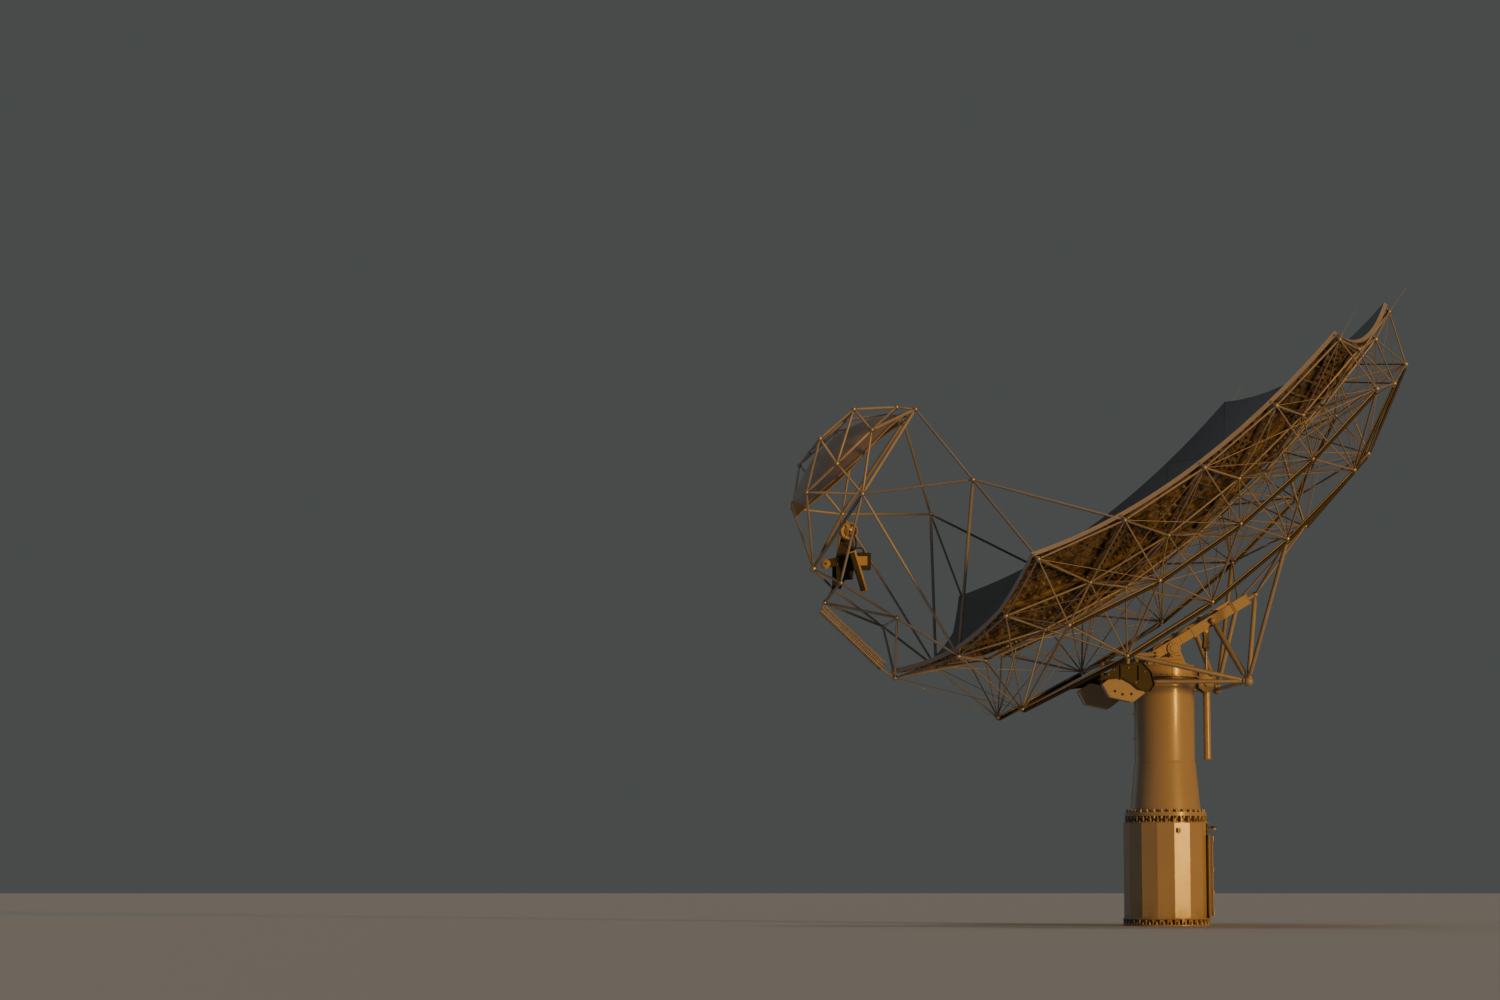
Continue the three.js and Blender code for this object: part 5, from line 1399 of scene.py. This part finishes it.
# A flanged tube between the girders, with the two plates and the sleeve of the screw's lug
def buildCrossBeam(s):
    shape = Shape()
    x, z, radius = s["beam"]
    length = 2 * (s["inner"] - 0.0003)
    flange = [(0, 0.13), (0.018, 0.13), (0.022, radius - 0.002)]
    profile = flange + [(length - d, r) for d, r in flange[::-1]]
    shape.turn((x, -length / 2, z), acrossY, profile, 32, 0, 0.3)
    pinX, pinZ = screwLooks["x"], screwLooks["pinZ"]
    outline = arc((pinX, pinZ), 0.12, 160, 380, 16) + [(x + 0.09, z), (x - 0.09, z)]
    for y in (-0.045, 0.045):
        alongY(shape, outline, y - 0.014, y + 0.014, 0.003, 0, 0.3)
    sleeve = [(0, 0.075), (0.003, 0.08), (0.117, 0.08), (0.12, 0.075)]
    shape.turn((pinX, -0.06, pinZ), acrossY, sleeve, 28, 1, 0.3)
    makePiece("cross_beam", shape, [cream, steel], "dish", ["girder_cross_beam"])


# Carrier: a black plate with a folded rim outside the ballast, two ribs, and the ball of the lower tube
def buildCarrier(s, name, side, start):
    shape = Shape()
    outline = np.array(s["carrier"])
    end = start + s["carrierThickness"]
    alongY(shape, inset(outline, 0.02), side * start, side * (end - 0.05), 0.004, 0, 0.3)
    half = ((end - start) / 2 - 0.001, 0.010)
    middle = side * (start + end) / 2
    addFolds(shape, outline, np.roll(outline, -1, 0), middle, half, 0.006, 0.012, 0.003, 0.5)
    for x in (-1.62, -1.12):
        flatBoxes(shape, (x, side * (end - 0.03), 6.92), (0.012, 0.028, 0.20), 0.003, 0, 0.4)
    spots = ((-1.95, 6.86), (-1.80, 7.0), (-1.4, 7.05), (-1.2, 6.65), (-0.95, 6.95))
    places = np.array([(x, side * (end - 0.0505), z) for x, z in spots])
    shape.bolts(places, side * acrossY, 0.034, 1, 0.5)
    shape.balls(mirrored(s["carrierBall"], side), ballOf * 1.1, 20, 13, 1)
    stands = ["ballast_carrier_" + name]
    makePiece("ballast_carrier_plate_" + name, shape, [black, zinc], "dish", stands)


# A leaning hexagon between two end plates, its bolts and plugs, and the stem to the ball that it hangs from
def buildBallast(s, name, side):
    shape = Shape()
    x, z = s["ballast"]
    wide, narrow, tall = s["ballastHalf"]
    lean = math.radians(s["lean"])
    ways = np.array([[math.cos(lean), math.sin(lean)], [-math.sin(lean), math.cos(lean)]])
    corners = [(-wide, 0), (-narrow, -tall), (narrow, -tall), (wide, 0), (narrow, tall), (-narrow, tall)]
    outline = np.array(corners) @ ways + (x, z)
    y0, y1 = s["ballastInner"], s["ballastInner"] + s["ballastThickness"]
    alongY(shape, inset(outline, 0.012), side * (y0 + 0.012), side * (y1 - 0.012), 0.008, 0, 0.3)
    for y in (y0, y1 - 0.016):
        alongY(shape, outline, side * y, side * (y + 0.016), 0.004, 0, 0.5)
    spots = [(u, side * (y1 + 0.0005), v) for u, v in inset(outline, 0.045)[1:3]]
    shape.bolts(np.array(spots), side * acrossY, 0.028, 1, 0.4)
    plug = [(-0.001, 0.036), (0.008, 0.036), (0.011, 0.03)]
    for u, v in np.array([(-0.22, -0.12), (0.0, -0.16), (0.24, -0.10)]) @ ways + (x, z):
        shape.turn((u, side * y1, v), side * acrossY, plug, 16, 2, 0.4)
    ball = mirrored(s["side"], side)
    hang = np.array([ball[0] - 0.06, side * (y0 + y1) / 2, z + tall - 0.06])
    stem = [(0, 0.06), (0.05, 0.055), (0.12, 0.048), (norm(ball - hang) - ballOf, 0.048)]
    shape.turn(hang, ball - hang, stem, 18, 0, 0.4)
    flatBoxes(shape, hang + np.array([0, 0, 0.05]), (0.12, 0.10, 0.012), 0.003, 0, 0.4)
    makePiece("ballast_" + name, shape, [cream, zinc, black], "dish", ["ballast_box_" + name])
    buildCarrier(s, name, side, y1 + 0.0003)


# Tubes from the lower corners and sides to the girders and rear joints, and the ballast that hangs on them
def buildElevationFrame(s):
    k, b, thick = s["kBall"], ballOf, s["kTube"]
    for name, side in sides.items():
        shape = Shape()
        corner, inner = mirrored(s["corner"], side), mirrored(s["side"], side)
        reaches = [
            (corner, inner, 1.0, k), (corner, mirrored(s["carrierBall"], side), 0.9, k),
            (corner, girderTip(side), 1.0, k), (corner, onGirder(s["shares"][1], side), 1.25, k),
            (corner, rearJoint(side, 3), 0.9, k),
            (inner, onGirder(s["shares"][0], side), 1.0, b), (inner, rearJoint(side, 1), 0.8, b),
            (inner, rearJoint(side, 2), 0.8, b),
        ]
        members = [(start, end, thick * share, ball, b) for start, end, share, ball in reaches]
        if side < 0:
            members.append((corner, mirrored(s["corner"], 1), thick * 0.9, k, k))
        addTubes(shape, members, 18)
        shape.balls(corner, k, 28, 17, 0)
        shape.balls(inner, b * 1.1, 20, 13, 0)
        ends = [member[1] for member in members if np.allclose(member[0], corner)]
        collar = [(k - 0.02, 0.07), (k + 0.022, 0.06), (k + 0.026, 0.04)]
        for end in ends:
            shape.turn(corner, end - corner, collar, 18, 0, 0.4)
        stands = ["elevation_frame_" + name]
        makePiece("elevation_tubes_" + name, shape, [white], "dish", stands)
        buildBallast(s, name, side)


buildGirders(frameLooks)
buildCrossBeam(frameLooks)
buildElevationFrame(frameLooks)
print("girders and elevation frame built")

# Feed arm: ball joints as (x, distance from the plane of symmetry, z)
armLooks = {
    "a": (-7.15, 1.35, 14.25), "b": (-7.67, 1.30, 14.31), "c": (-8.98, 2.40, 14.09),
    "d": (-9.98, 3.05, 13.185), "g": (-10.26, 2.10, 11.82), "h": (-9.47, 2.60, 12.56),
    "i": (-8.50, 2.50, 13.51), "j": (-8.78, 2.64, 11.73), "l": (-5.99, 4.41, 11.94),
    "n": (-9.87, 0.0, 9.91), "o": (-9.21, 1.0, 9.43), "p": (-9.56, 0.0, 8.96), "q": (-7.73, 1.656, 8.42),
}
rimEnds = {"low": (0, 0), "side": (1, 0), "wide": (3, 0), "next": (3, 1)}
armSizes = {"tube": 0.035, "thick": 0.045, "ball": 0.078, "focus": 0.11}
armBall = armSizes["ball"]
thickPairs = {("a", "i"), ("i", "h"), ("h", "g"), ("j", "a"), ("l", "side"), ("j", "n")}


# A joint of the arm on one side, or a front joint of the dish's rim where the arm ends
def armJoint(key, side):
    if key in rimEnds:
        row, number = rimEnds[key]
        return frontJoint(row * side, number)
    return mirrored(armLooks[key], side)


# The tubes between pairs of joints on one or both sides, with the balls that this piece owns
def armShape(owned, pairs, sideList):
    shape = Shape()
    members, joints = [], []
    for side in sideList:
        joints += [armJoint(key, side) for key in owned]
        for first, second in pairs:
            size = armSizes["thick"] if (first, second) in thickPairs else armSizes["tube"]
            balls = [armSizes["focus"] if key == "n" else armBall for key in (first, second)]
            members.append((armJoint(first, side), armJoint(second, side), size, *balls))
    addTubes(shape, members, 14)
    if joints:
        shape.balls(np.stack(joints), armBall, finish=1)
    return shape


# The tube from a joint to its mirror image
def acrossTube(key, size=armSizes["tube"]):
    return armJoint(key, -1), armJoint(key, 1), size, armBall, armBall


# Piece, the node that it stands for, the joints that it owns and its tubes
armParts = [
    ("subreflector_ring_", "subreflector_frame_", "abcdghi",
     ["ab", "bc", "cd", "dg", "ai", "ih", "hg", "bi", "ci", "ch", "dh"]),
    ("outer_arm_", "outer_struts_", "l", [("l", "a"), ("l", "side"), ("l", "wide"), ("l", "next")]),
    ("receiver_arm_", "receiver_struts_", "j", ["jl", "ja", "ji", "jh", "jg", "jn", "jo", ("j", "side")]),
]
for name, side in sides.items():
    for pieceName, nodeName, owned, pairs in armParts:
        shape = armShape(owned, pairs, [side])
        makePiece(pieceName + name, shape, [white, zinc], "dish", [nodeName + name])

spine = {key: np.array([armLooks[key][0], 0, armLooks[key][2]]) for key in "bcd"}
crossing = Shape()
members = [acrossTube(key) for key in "bcd"]
members += [(spine[a], spine[b], armSizes["tube"], armBall * 0.6, armBall * 0.6) for a, b in ("bc", "cd")]
addTubes(crossing, members, 14)
crossing.balls(np.stack([spine["c"], spine["d"]]), armBall * 0.8, finish=1)
stands = ["subreflector_cross_frame"]
makePiece("subreflector_cross_tubes", crossing, [white, zinc], "dish", stands)
tie = Shape()
addTubes(tie, [acrossTube("a")], 14)
makePiece("top_tie", tie, [white], "dish", ["subreflector_top_tie"])
lower = armShape("oq", ["no", "po", "oq", "pq", ("q", "low"), ("q", "side"), "ng"], [-1, 1])
addTubes(lower, [acrossTube("q")], 14)
lower.balls(armJoint("n", 1), armSizes["focus"], finish=1)
lower.balls(armJoint("p", 1), armBall, finish=1)
makePiece("lower_arm_tubes", lower, [white, zinc], "dish", ["lower_arm"])
print("feed arm built")

# Subreflector: a sheet curved both ways on a chord from its upper to its lower end
sheetLook = {
    "top": (-7.15, 14.25), "along": (-0.797, -0.604), "middle": 2.07, "low": -1.85, "high": 2.05,
    "crown": 0.75, "curveAlong": 2.86, "curveAcross": 3.03, "halfWidth": 2.40, "widest": 0.30,
    "narrowing": 0.3, "thickness": 0.04,
}


# The chord's place + the sagging offset from it, then straight behind the face
def sheetPoint(s, w, behind, look):
    s, w, behind = np.broadcast_arrays(s, w, behind)
    offset = look["crown"] - s * s / (2 * look["curveAlong"]) - w * w / (2 * look["curveAcross"])
    leanS, leanW = s / look["curveAlong"], w / look["curveAcross"]
    size = np.sqrt(1 + leanS**2 + leanW**2)
    t = look["middle"] + s + behind * leanS / size
    n = offset + behind / size
    (topX, topZ), (ax, az) = look["top"], look["along"]
    return np.stack([topX + ax * t + az * n, w + behind * leanW / size, topZ + az * t - ax * n], -1)


# Grids on the sheet's front, middle and back, closed by a rim of rectangular section
def buildSheet(look):
    shape = Shape()
    s = np.linspace(look["low"], look["high"], 41)[:, None]
    half = look["halfWidth"] - look["narrowing"] * (s - look["widest"]) ** 2
    share = np.linspace(-1, 1, 41)[None]
    thick = look["thickness"]
    front = sheetPoint(s, half * share, 0.0, look)
    middle = sheetPoint(s, half * share, thick * 0.15, look)
    back = sheetPoint(s, half * share, thick * 0.45, look)
    shape.loft(np.concatenate([front, middle[:, ::-1]], 1), 1, 0.4)
    shape.loft(np.concatenate([middle, back[:, ::-1]], 1), 0, 0.4)
    rimS = np.concatenate([np.full(41, look["low"]), s[1:-1, 0], np.full(41, look["high"]), s[-2:0:-1, 0]])
    halfAt = look["halfWidth"] - look["narrowing"] * (rimS - look["widest"]) ** 2
    rimShare = np.concatenate([share[0], np.ones(39), share[0][::-1], -np.ones(39)])
    rings = []
    for inwards, depth in ((0.0, -0.004), (0.0, thick), (0.03, thick), (0.03, -0.004)):
        moved = rimS + np.where(rimS <= look["low"], inwards, np.where(rimS >= look["high"], -inwards, 0))
        rings.append(sheetPoint(moved, (halfAt - inwards) * rimShare, depth, look))
    shape.loft(np.stack(rings, 1), 0, 0.6, looped=True)
    # the sheet's concave front takes the dark face paint, which is painted shade
    makePiece("subreflector_sheet", shape, [laminate, face], "dish", ["subreflector"], 30)


buildSheet(sheetLook)

# Receivers on the indexer: a disc that turns about a level axis, with its support behind it
indexerLooks = {
    "hub": (-8.98, 10.11), "face": 0.05, "back": 0.16, "supportBack": 0.30,
    "outline": ((-0.23, -0.52), (0.23, -0.48), (0.26, -0.11), (0.60, -0.11), (0.60, 0.11), (0.27, 0.12),
                (0.25, 0.50), (0.19, 0.96), (-0.04, 0.96), (-0.13, 0.54), (-0.24, 0.13), (-0.60, 0.04),
                (-0.60, -0.17), (-0.25, -0.12)),
}


hubX, hubZ = indexerLooks["hub"]
tableFace = indexerLooks["face"] - 0.0003  # the receivers stand on it, towards -Y


# Two cheeks with a folded edge that stand on the cross tube, the bearing between them and its motor
def buildMast(s):
    shape = Shape()
    foot = armLooks["o"]
    addTubes(shape, [acrossTube("o", 0.05)], 16)
    outline = [(foot[0] - 0.11, foot[2] - 0.06), (foot[0] + 0.13, foot[2] - 0.06)]
    outline += [(hubX + x, hubZ + z) for x, z in ((0.23, -0.06), (0.16, 0.23), (-0.17, 0.23), (-0.33, -0.12))]
    for y in (s["back"] + 0.06, s["supportBack"] - 0.02):
        alongY(shape, outline, y, y + 0.02, 0.003, 0, 0.4)
    between = (s["back"] + 0.06 + s["supportBack"]) / 2
    addFolds(shape, outline, outline[1:] + outline[:1], between, (0.038, 0.006), 0.01, 0.012, 0.002, 0.4)
    housing = [(0, 0.15), (0.05, 0.15), (0.054, 0.12), (s["supportBack"] - s["back"], 0.12)]
    motor = [(0, 0.09), (0.02, 0.09), (0.024, 0.075), (0.2, 0.075), (0.21, 0.06)]
    shape.turn((hubX, s["back"] + 0.0005, hubZ), acrossY, housing, 36, 0, 0.3)
    shape.turn((hubX - 0.16, s["supportBack"], hubZ + 0.02), acrossY, motor, 28, 0, 0.3)
    makePiece("indexer_mast", shape, [black], "dish", ["indexer_support"])


# A box with arms: two sheets with a recessed edge between them, its hub and a bolt at each corner
def buildTable(s):
    shape = Shape()
    outline = np.array(s["outline"]) + (hubX, hubZ)
    for y in (s["face"], s["back"] - 0.014):
        alongY(shape, outline, y, y + 0.014, 0.003, 0, 0.3)
    alongY(shape, inset(outline, 0.022), s["face"] + 0.013, s["back"] - 0.013, 0.002, 0, 0.5)
    hub = [(0, 0.13), (0.004, 0.14), (0.12, 0.14), (0.12, 0.12)]
    shape.turn((hubX, s["face"] - 0.012, hubZ), acrossY, hub, 40, 0, 0.6)
    spots = inset(outline, 0.045)
    spots = np.stack([spots[:, 0], np.full(len(spots), s["face"] - 0.0005), spots[:, 1]], 1)
    shape.bolts(spots, -acrossY, 0.024, 1, 0.3)
    makePiece("indexer_disc", shape, [black, zinc], "indexer", ["indexer_turntable"])


# Drum-shaped receiver on the upper arm: raised hoops, fins between them, vanes in its open end, and a hose
drumLooks = {
    "at": (0.08, 0.83), "radius": 0.24, "groove": 0.012, "end": -0.42, "fins": 16, "vanes": 6,
    "hose": ((0.0, -0.44, 0.0), (0.06, -0.52, -0.05), (0.16, -0.46, -0.22), (0.20, -0.2, -0.42),
             (0.1, 0.0, -0.55)),
}


# Unit vectors at even angles in X and Z
def spokesAt(count, phase=0.0):
    angle = np.radians(360 * (np.arange(count) + phase) / count)
    return np.stack([np.cos(angle), np.zeros(count), np.sin(angle)], 1)


# A turned profile of hoops and a mouth, fins and vanes on even spokes, and a hose along listed points
def buildDrum(s):
    shape = Shape()
    centre = np.array([hubX + s["at"][0], 0, hubZ + s["at"][1]])
    r, small = s["radius"], s["radius"] - s["groove"]
    hoops = [(0, r - 0.02), (0.012, r), (0.03, r), (0.034, small), (0.2, small), (0.204, r), (0.222, r)]
    hoops += [(0.226, small), (0.40, small), (0.404, r), (0.455, r), (0.47, r - 0.008)]
    mouth = [(0.47, r - 0.035), (0.39, r - 0.04), (0.385, 0.115), (0.455, 0.11), (0.46, 0.10), (0.46, 0.04)]
    shape.turn(centre + [0, tableFace, 0], -acrossY, hoops + mouth, 48, 0, 0.4)
    vanes = spokesAt(s["vanes"])
    places = centre + vanes * 0.157 + [0, tableFace - 0.42, 0]
    shape.boxes(places, vanes, acrossY, np.cross(vanes, acrossY), (0.046, 0.03, 0.006), 0.002, 1, 0.3)
    fins = spokesAt(s["fins"], 0.5)
    for depth in (0.115, 0.31):
        places = centre + fins * (r - 0.006) + [0, tableFace - depth, 0]
        shape.boxes(places, fins, acrossY, np.cross(fins, acrossY), (0.008, 0.075, 0.005), 0.002, 0, 0.4)
    cap = [(-0.02, 0.07), (0.02, 0.07), (0.024, 0.05)]
    shape.turn(centre + [0.0, s["end"], 0.0], -acrossY, cap, 24, 1, 0.4)
    shape.hose(smoothPath(centre + np.array(s["hose"])), 0.018, 10, 2, 0.4)
    finishes = [warm, zinc, rubber]
    makePiece("receiver_cryostat", shape, finishes, "indexer", ["receiver_drum"])


# Box-shaped receiver on the front arm: a case between two black frames, a lid, a neck and a hose
caseLooks = {
    "low": 0.21, "high": 0.69, "front": -0.33, "half": (0.225, 0.215), "frame": (0.24, 0.23), "post": 0.013,
    "hose": ((0.06, 0.0, 0.27), (0.02, -0.02, 0.36), (-0.16, 0.0, 0.37), (-0.30, 0.08, 0.28)),
}


# Level boxes around the case's middle: body, frames, corner posts and lid
def buildCase(s):
    shape = Shape()
    middle = np.array([hubX + (s["low"] + s["high"]) / 2, (tableFace + s["front"]) / 2, hubZ])
    halfU, halfV = s["half"]
    levelBoxes(shape, middle, (halfU, halfV, (tableFace - s["front"]) / 2 - 0.012), 0.008, 0, 0.4)
    for y in (tableFace - 0.01, s["front"] + 0.01):
        levelBoxes(shape, (middle[0], y, middle[2]), (*s["frame"], 0.0098), 0.004, 1, 0.4)
    corners = np.array([(a, 0, b) for a in (-1, 1) for b in (-1, 1)])
    posts = middle + corners * (halfU + 0.001, 0, halfV + 0.001)
    levelBoxes(shape, posts, (s["post"], s["post"], 0.17), 0.003, 1, 0.4)
    levelBoxes(shape, (middle[0], s["front"] - 0.005, middle[2]), (0.14, 0.13, 0.006), 0.003, 0, 0.6)
    neck = [(0, 0.05), (0.02, 0.05), (0.024, 0.035), (0.06, 0.035), (0.063, 0.025)]
    shape.turn(middle + [0.06, 0, 0.22], upright, neck, 20, 1, 0.3)
    shape.hose(smoothPath(middle + np.array(s["hose"])), 0.02, 10, 2, 0.4)
    makePiece("receiver_case", shape, [warm, black, rubber], "indexer", ["receiver_box"])


# Long receiver that leans across the case: black, with a painted cover on one side and straps at its ends
longLooks = {"high": (0.16, 0.26), "low": (0.50, -0.88), "y": -0.4153}


# Boxes along the line from its upper to its lower end
def buildLongCase(s):
    shape = Shape()
    high, low = (np.array([hubX + s[end][0], s["y"], hubZ + s[end][1]]) for end in ("high", "low"))
    run = low - high
    length = norm(run)
    along = run / length
    aside = np.cross(along, acrossY)
    middle, ways = (high + low) / 2, (aside, acrossY, along)
    shape.boxes(middle - aside * 0.028, *ways, (0.062, 0.066, length / 2 - 0.02), 0.006, 1, 0.3)
    cover = middle + aside * 0.062 - acrossY * 0.01
    shape.boxes(cover, *ways, (0.030, 0.072, length / 2), 0.008, 0, 0.5)
    for t in (0.02, 0.98):
        strap = high + run * t - aside * 0.03
        shape.boxes(strap, *ways, (0.064, 0.078, 0.014), 0.004, 0, 0.4)
    cap = [(0.07, 0.03), (0.12, 0.03), (0.125, 0.022)]
    shape.turn(high + run * 0.5 - aside * 0.05, -acrossY, cap, 18, 1, 0.4)
    makePiece("receiver_long_case", shape, [warm, black], "indexer", ["receiver_horn"])


# Small can-shaped receiver on the rear arm
canLooks = {"at": (-0.56, -0.08), "radius": 0.125, "waist": 0.112, "neck": 0.372}


# A turned profile with three hoops, and its neck
def buildCan(s):
    shape = Shape()
    centre = np.array([hubX + s["at"][0], tableFace, hubZ + s["at"][1]])
    r, waist = s["radius"], s["waist"]
    profile = [(0, r - 0.01), (0.012, r), (0.03, r), (0.034, waist), (0.30, waist), (0.304, r), (0.33, r),
               (0.345, 0.108), (0.379, 0.075), (0.38, 0.03)]
    shape.turn(centre, -acrossY, profile, 36, 0, 0.4)
    shape.turn(centre - acrossY * s["neck"], -acrossY, [(0, 0.045), (0.03, 0.045), (0.034, 0.03)], 18, 1, 0.4)
    makePiece("receiver_can", shape, [warm, steel], "indexer", ["receiver_small"])


buildMast(indexerLooks)
buildTable(indexerLooks)
buildDrum(drumLooks)
buildCase(caseLooks)
buildLongCase(longLooks)
buildCan(canLooks)

# Access tray: two perforated sides and a slotted floor between rails
trayLook = {"start": (-9.70, 8.70), "end": (-8.00, 7.10), "width": 0.56, "height": 0.23, "pitch": 0.055}


# Rails, slats and side plates at even steps along the tray, with a stay at each end
def buildTray(s):
    shape = Shape()
    start, end = np.array([s["start"][0], 0, s["start"][1]]), np.array([s["end"][0], 0, s["end"][1]])
    run = end - start
    length = norm(run)
    along = run / length
    lift = np.cross(acrossY, along)
    lift *= np.sign(lift[2])
    ways = (along, acrossY, lift)
    half, tall, middle = s["width"] / 2, s["height"], (start + end) / 2
    count = int(length / s["pitch"])
    spots = start + along * (np.arange(1, count) * s["pitch"])[:, None]
    for side in (-1, 1):
        out = side * acrossY
        for level, thick in ((0.012, 0.012), (tall - 0.012, 0.012), (tall * 0.5, 0.006)):
            rail = middle + (half - 0.006) * out + level * lift
            shape.boxes(rail, *ways, (length / 2, 0.006, thick), 0.002, 0, 0.4)
        cap = middle + (half - 0.022) * out + (tall - 0.003) * lift
        shape.boxes(cap, *ways, (length / 2, 0.022, 0.003), 0.001, 0, 0.4)
        slats = spots + (half - 0.005) * out + tall / 2 * lift
        shape.boxes(slats, *ways, (0.014, 0.0025, tall / 2 - 0.014), 0.001)
    shape.boxes(spots + 0.009 * lift, *ways, (0.015, half - 0.004, 0.004), 0.001)
    for y in (-0.14, 0.0, 0.14):
        shape.boxes(middle + y * acrossY + 0.005 * lift, *ways, (length / 2, 0.012, 0.005), 0.001, 0, 0.4)
    for at, sign in ((start, 1), (end, -1)):
        shape.boxes(at + along * sign * 0.01 + 0.06 * lift, *ways, (0.008, half - 0.001, 0.06), 0.002, 0, 0.4)
    upperStay = (start + (0.06, 0, -0.04), armJoint("p", 1), armBall)
    lowerStay = (end + (-0.06, 0, 0.07), frontJoint(0, 0), ballOf)
    for place, joint, ball in (upperStay, lowerStay):
        way = joint - place
        reach = norm(way) - ball
        shape.turn(place, way, [(-0.03, 0.03), (0.02, 0.034), (reach, 0.034)], 14, 0, 0.4)
    makePiece("tray_grating", shape, [white], "dish", ["access_tray"])


buildTray(trayLook)
print("subreflector, receivers and tray built")

# Floor, light and camera
stageLooks = {
    "floor": colour(0.74, 0.74, 0.73), "sky": colour(0.275, 0.30, 0.285), "skyStrength": 0.26,
    "camera": (-19.367, -98.107, 0.996), "pitch": 6.28, "turn": 4.5, "lens": 85.0, "sensor": 36.0,
    "floorRadius": 900, "lampDistance": 60, "farthest": 2000,
}


# Azimuth, height over the horizon and spread in degrees, then strength and colour
lightLooks = {
    "key_light": (-56.3, 5, 10, 2.5, (1.0, 0.48, 0.075)),
    "front_fill": (-130, 30, 40, 0.03, (0.72, 0.86, 1.0)),
    "top_light": (0, 89.9, 20, 0.17, (0.97, 0.98, 1.0)),
    "back_light": (125, 24, 40, 0.10, (0.80, 0.90, 1.0)),
}


# A broad distant light whose Z axis points at the place that it shines from
def softLight(name, azimuth, elevation, spread, strength, tint):
    data = bpy.data.lights.new(name, "SUN")
    data.angle, data.energy, data.color = math.radians(spread), strength, tint
    lamp = bpy.data.objects.new(name, data)
    bpy.context.scene.collection.objects.link(lamp)
    a, e = math.radians(azimuth), math.radians(elevation)
    way = np.array([math.cos(e) * math.cos(a), math.cos(e) * math.sin(a), math.sin(e)])
    across, upwards, along = basis(way)
    lamp.location = stageLooks["lampDistance"] * way
    lamp.rotation_euler = Matrix(np.stack([across, upwards, along], 1).tolist()).to_euler()


# A round floor, an even background, the lights, and the camera at the photograph's place
def buildStage(s):
    mesh = bpy.data.meshes.new("studio_floor")
    angle = 2 * np.pi * np.arange(64) / 64
    radius = s["floorRadius"]
    rim = np.stack([radius * np.cos(angle), radius * np.sin(angle), np.full(64, -0.001)], 1)
    mesh.from_pydata(rim.tolist(), [], [list(range(64))])
    floor = bpy.data.objects.new("studio_floor", mesh)
    bpy.context.scene.collection.objects.link(floor)
    mesh.materials.append(Finish("studio_floor").finish(s["floor"], 0.8))
    world = bpy.context.scene.world or bpy.data.worlds.new("studio")
    bpy.context.scene.world = world
    world.use_nodes = True
    background = world.node_tree.nodes["Background"]
    background.inputs[0].default_value = s["sky"]
    background.inputs[1].default_value = s["skyStrength"]
    for name, values in lightLooks.items():
        softLight(name, *values)
    data = bpy.data.cameras.new("photo_camera")
    data.lens, data.sensor_width = s["lens"], s["sensor"]
    data.clip_end = s["farthest"]
    camera = bpy.data.objects.new("photo_camera", data)
    bpy.context.scene.collection.objects.link(camera)
    turn, pitch = math.radians(s["turn"]), math.radians(s["pitch"])
    level = np.array([math.sin(turn), math.cos(turn), 0])
    forward = level * math.cos(pitch) + upright * math.sin(pitch)
    right = np.array([math.cos(turn), -math.sin(turn), 0])
    up = np.cross(right, forward)
    camera.location = s["camera"]
    camera.rotation_euler = Matrix(np.stack([right, up, -forward], 1).tolist()).to_euler()
    bpy.context.scene.camera = camera


buildStage(stageLooks)
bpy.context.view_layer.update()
meshes = [made.data for made in bpy.data.objects if made.type == "MESH"]
print("stage built, triangles:", sum(len(face.vertices) - 2 for mesh in meshes for face in mesh.polygons))
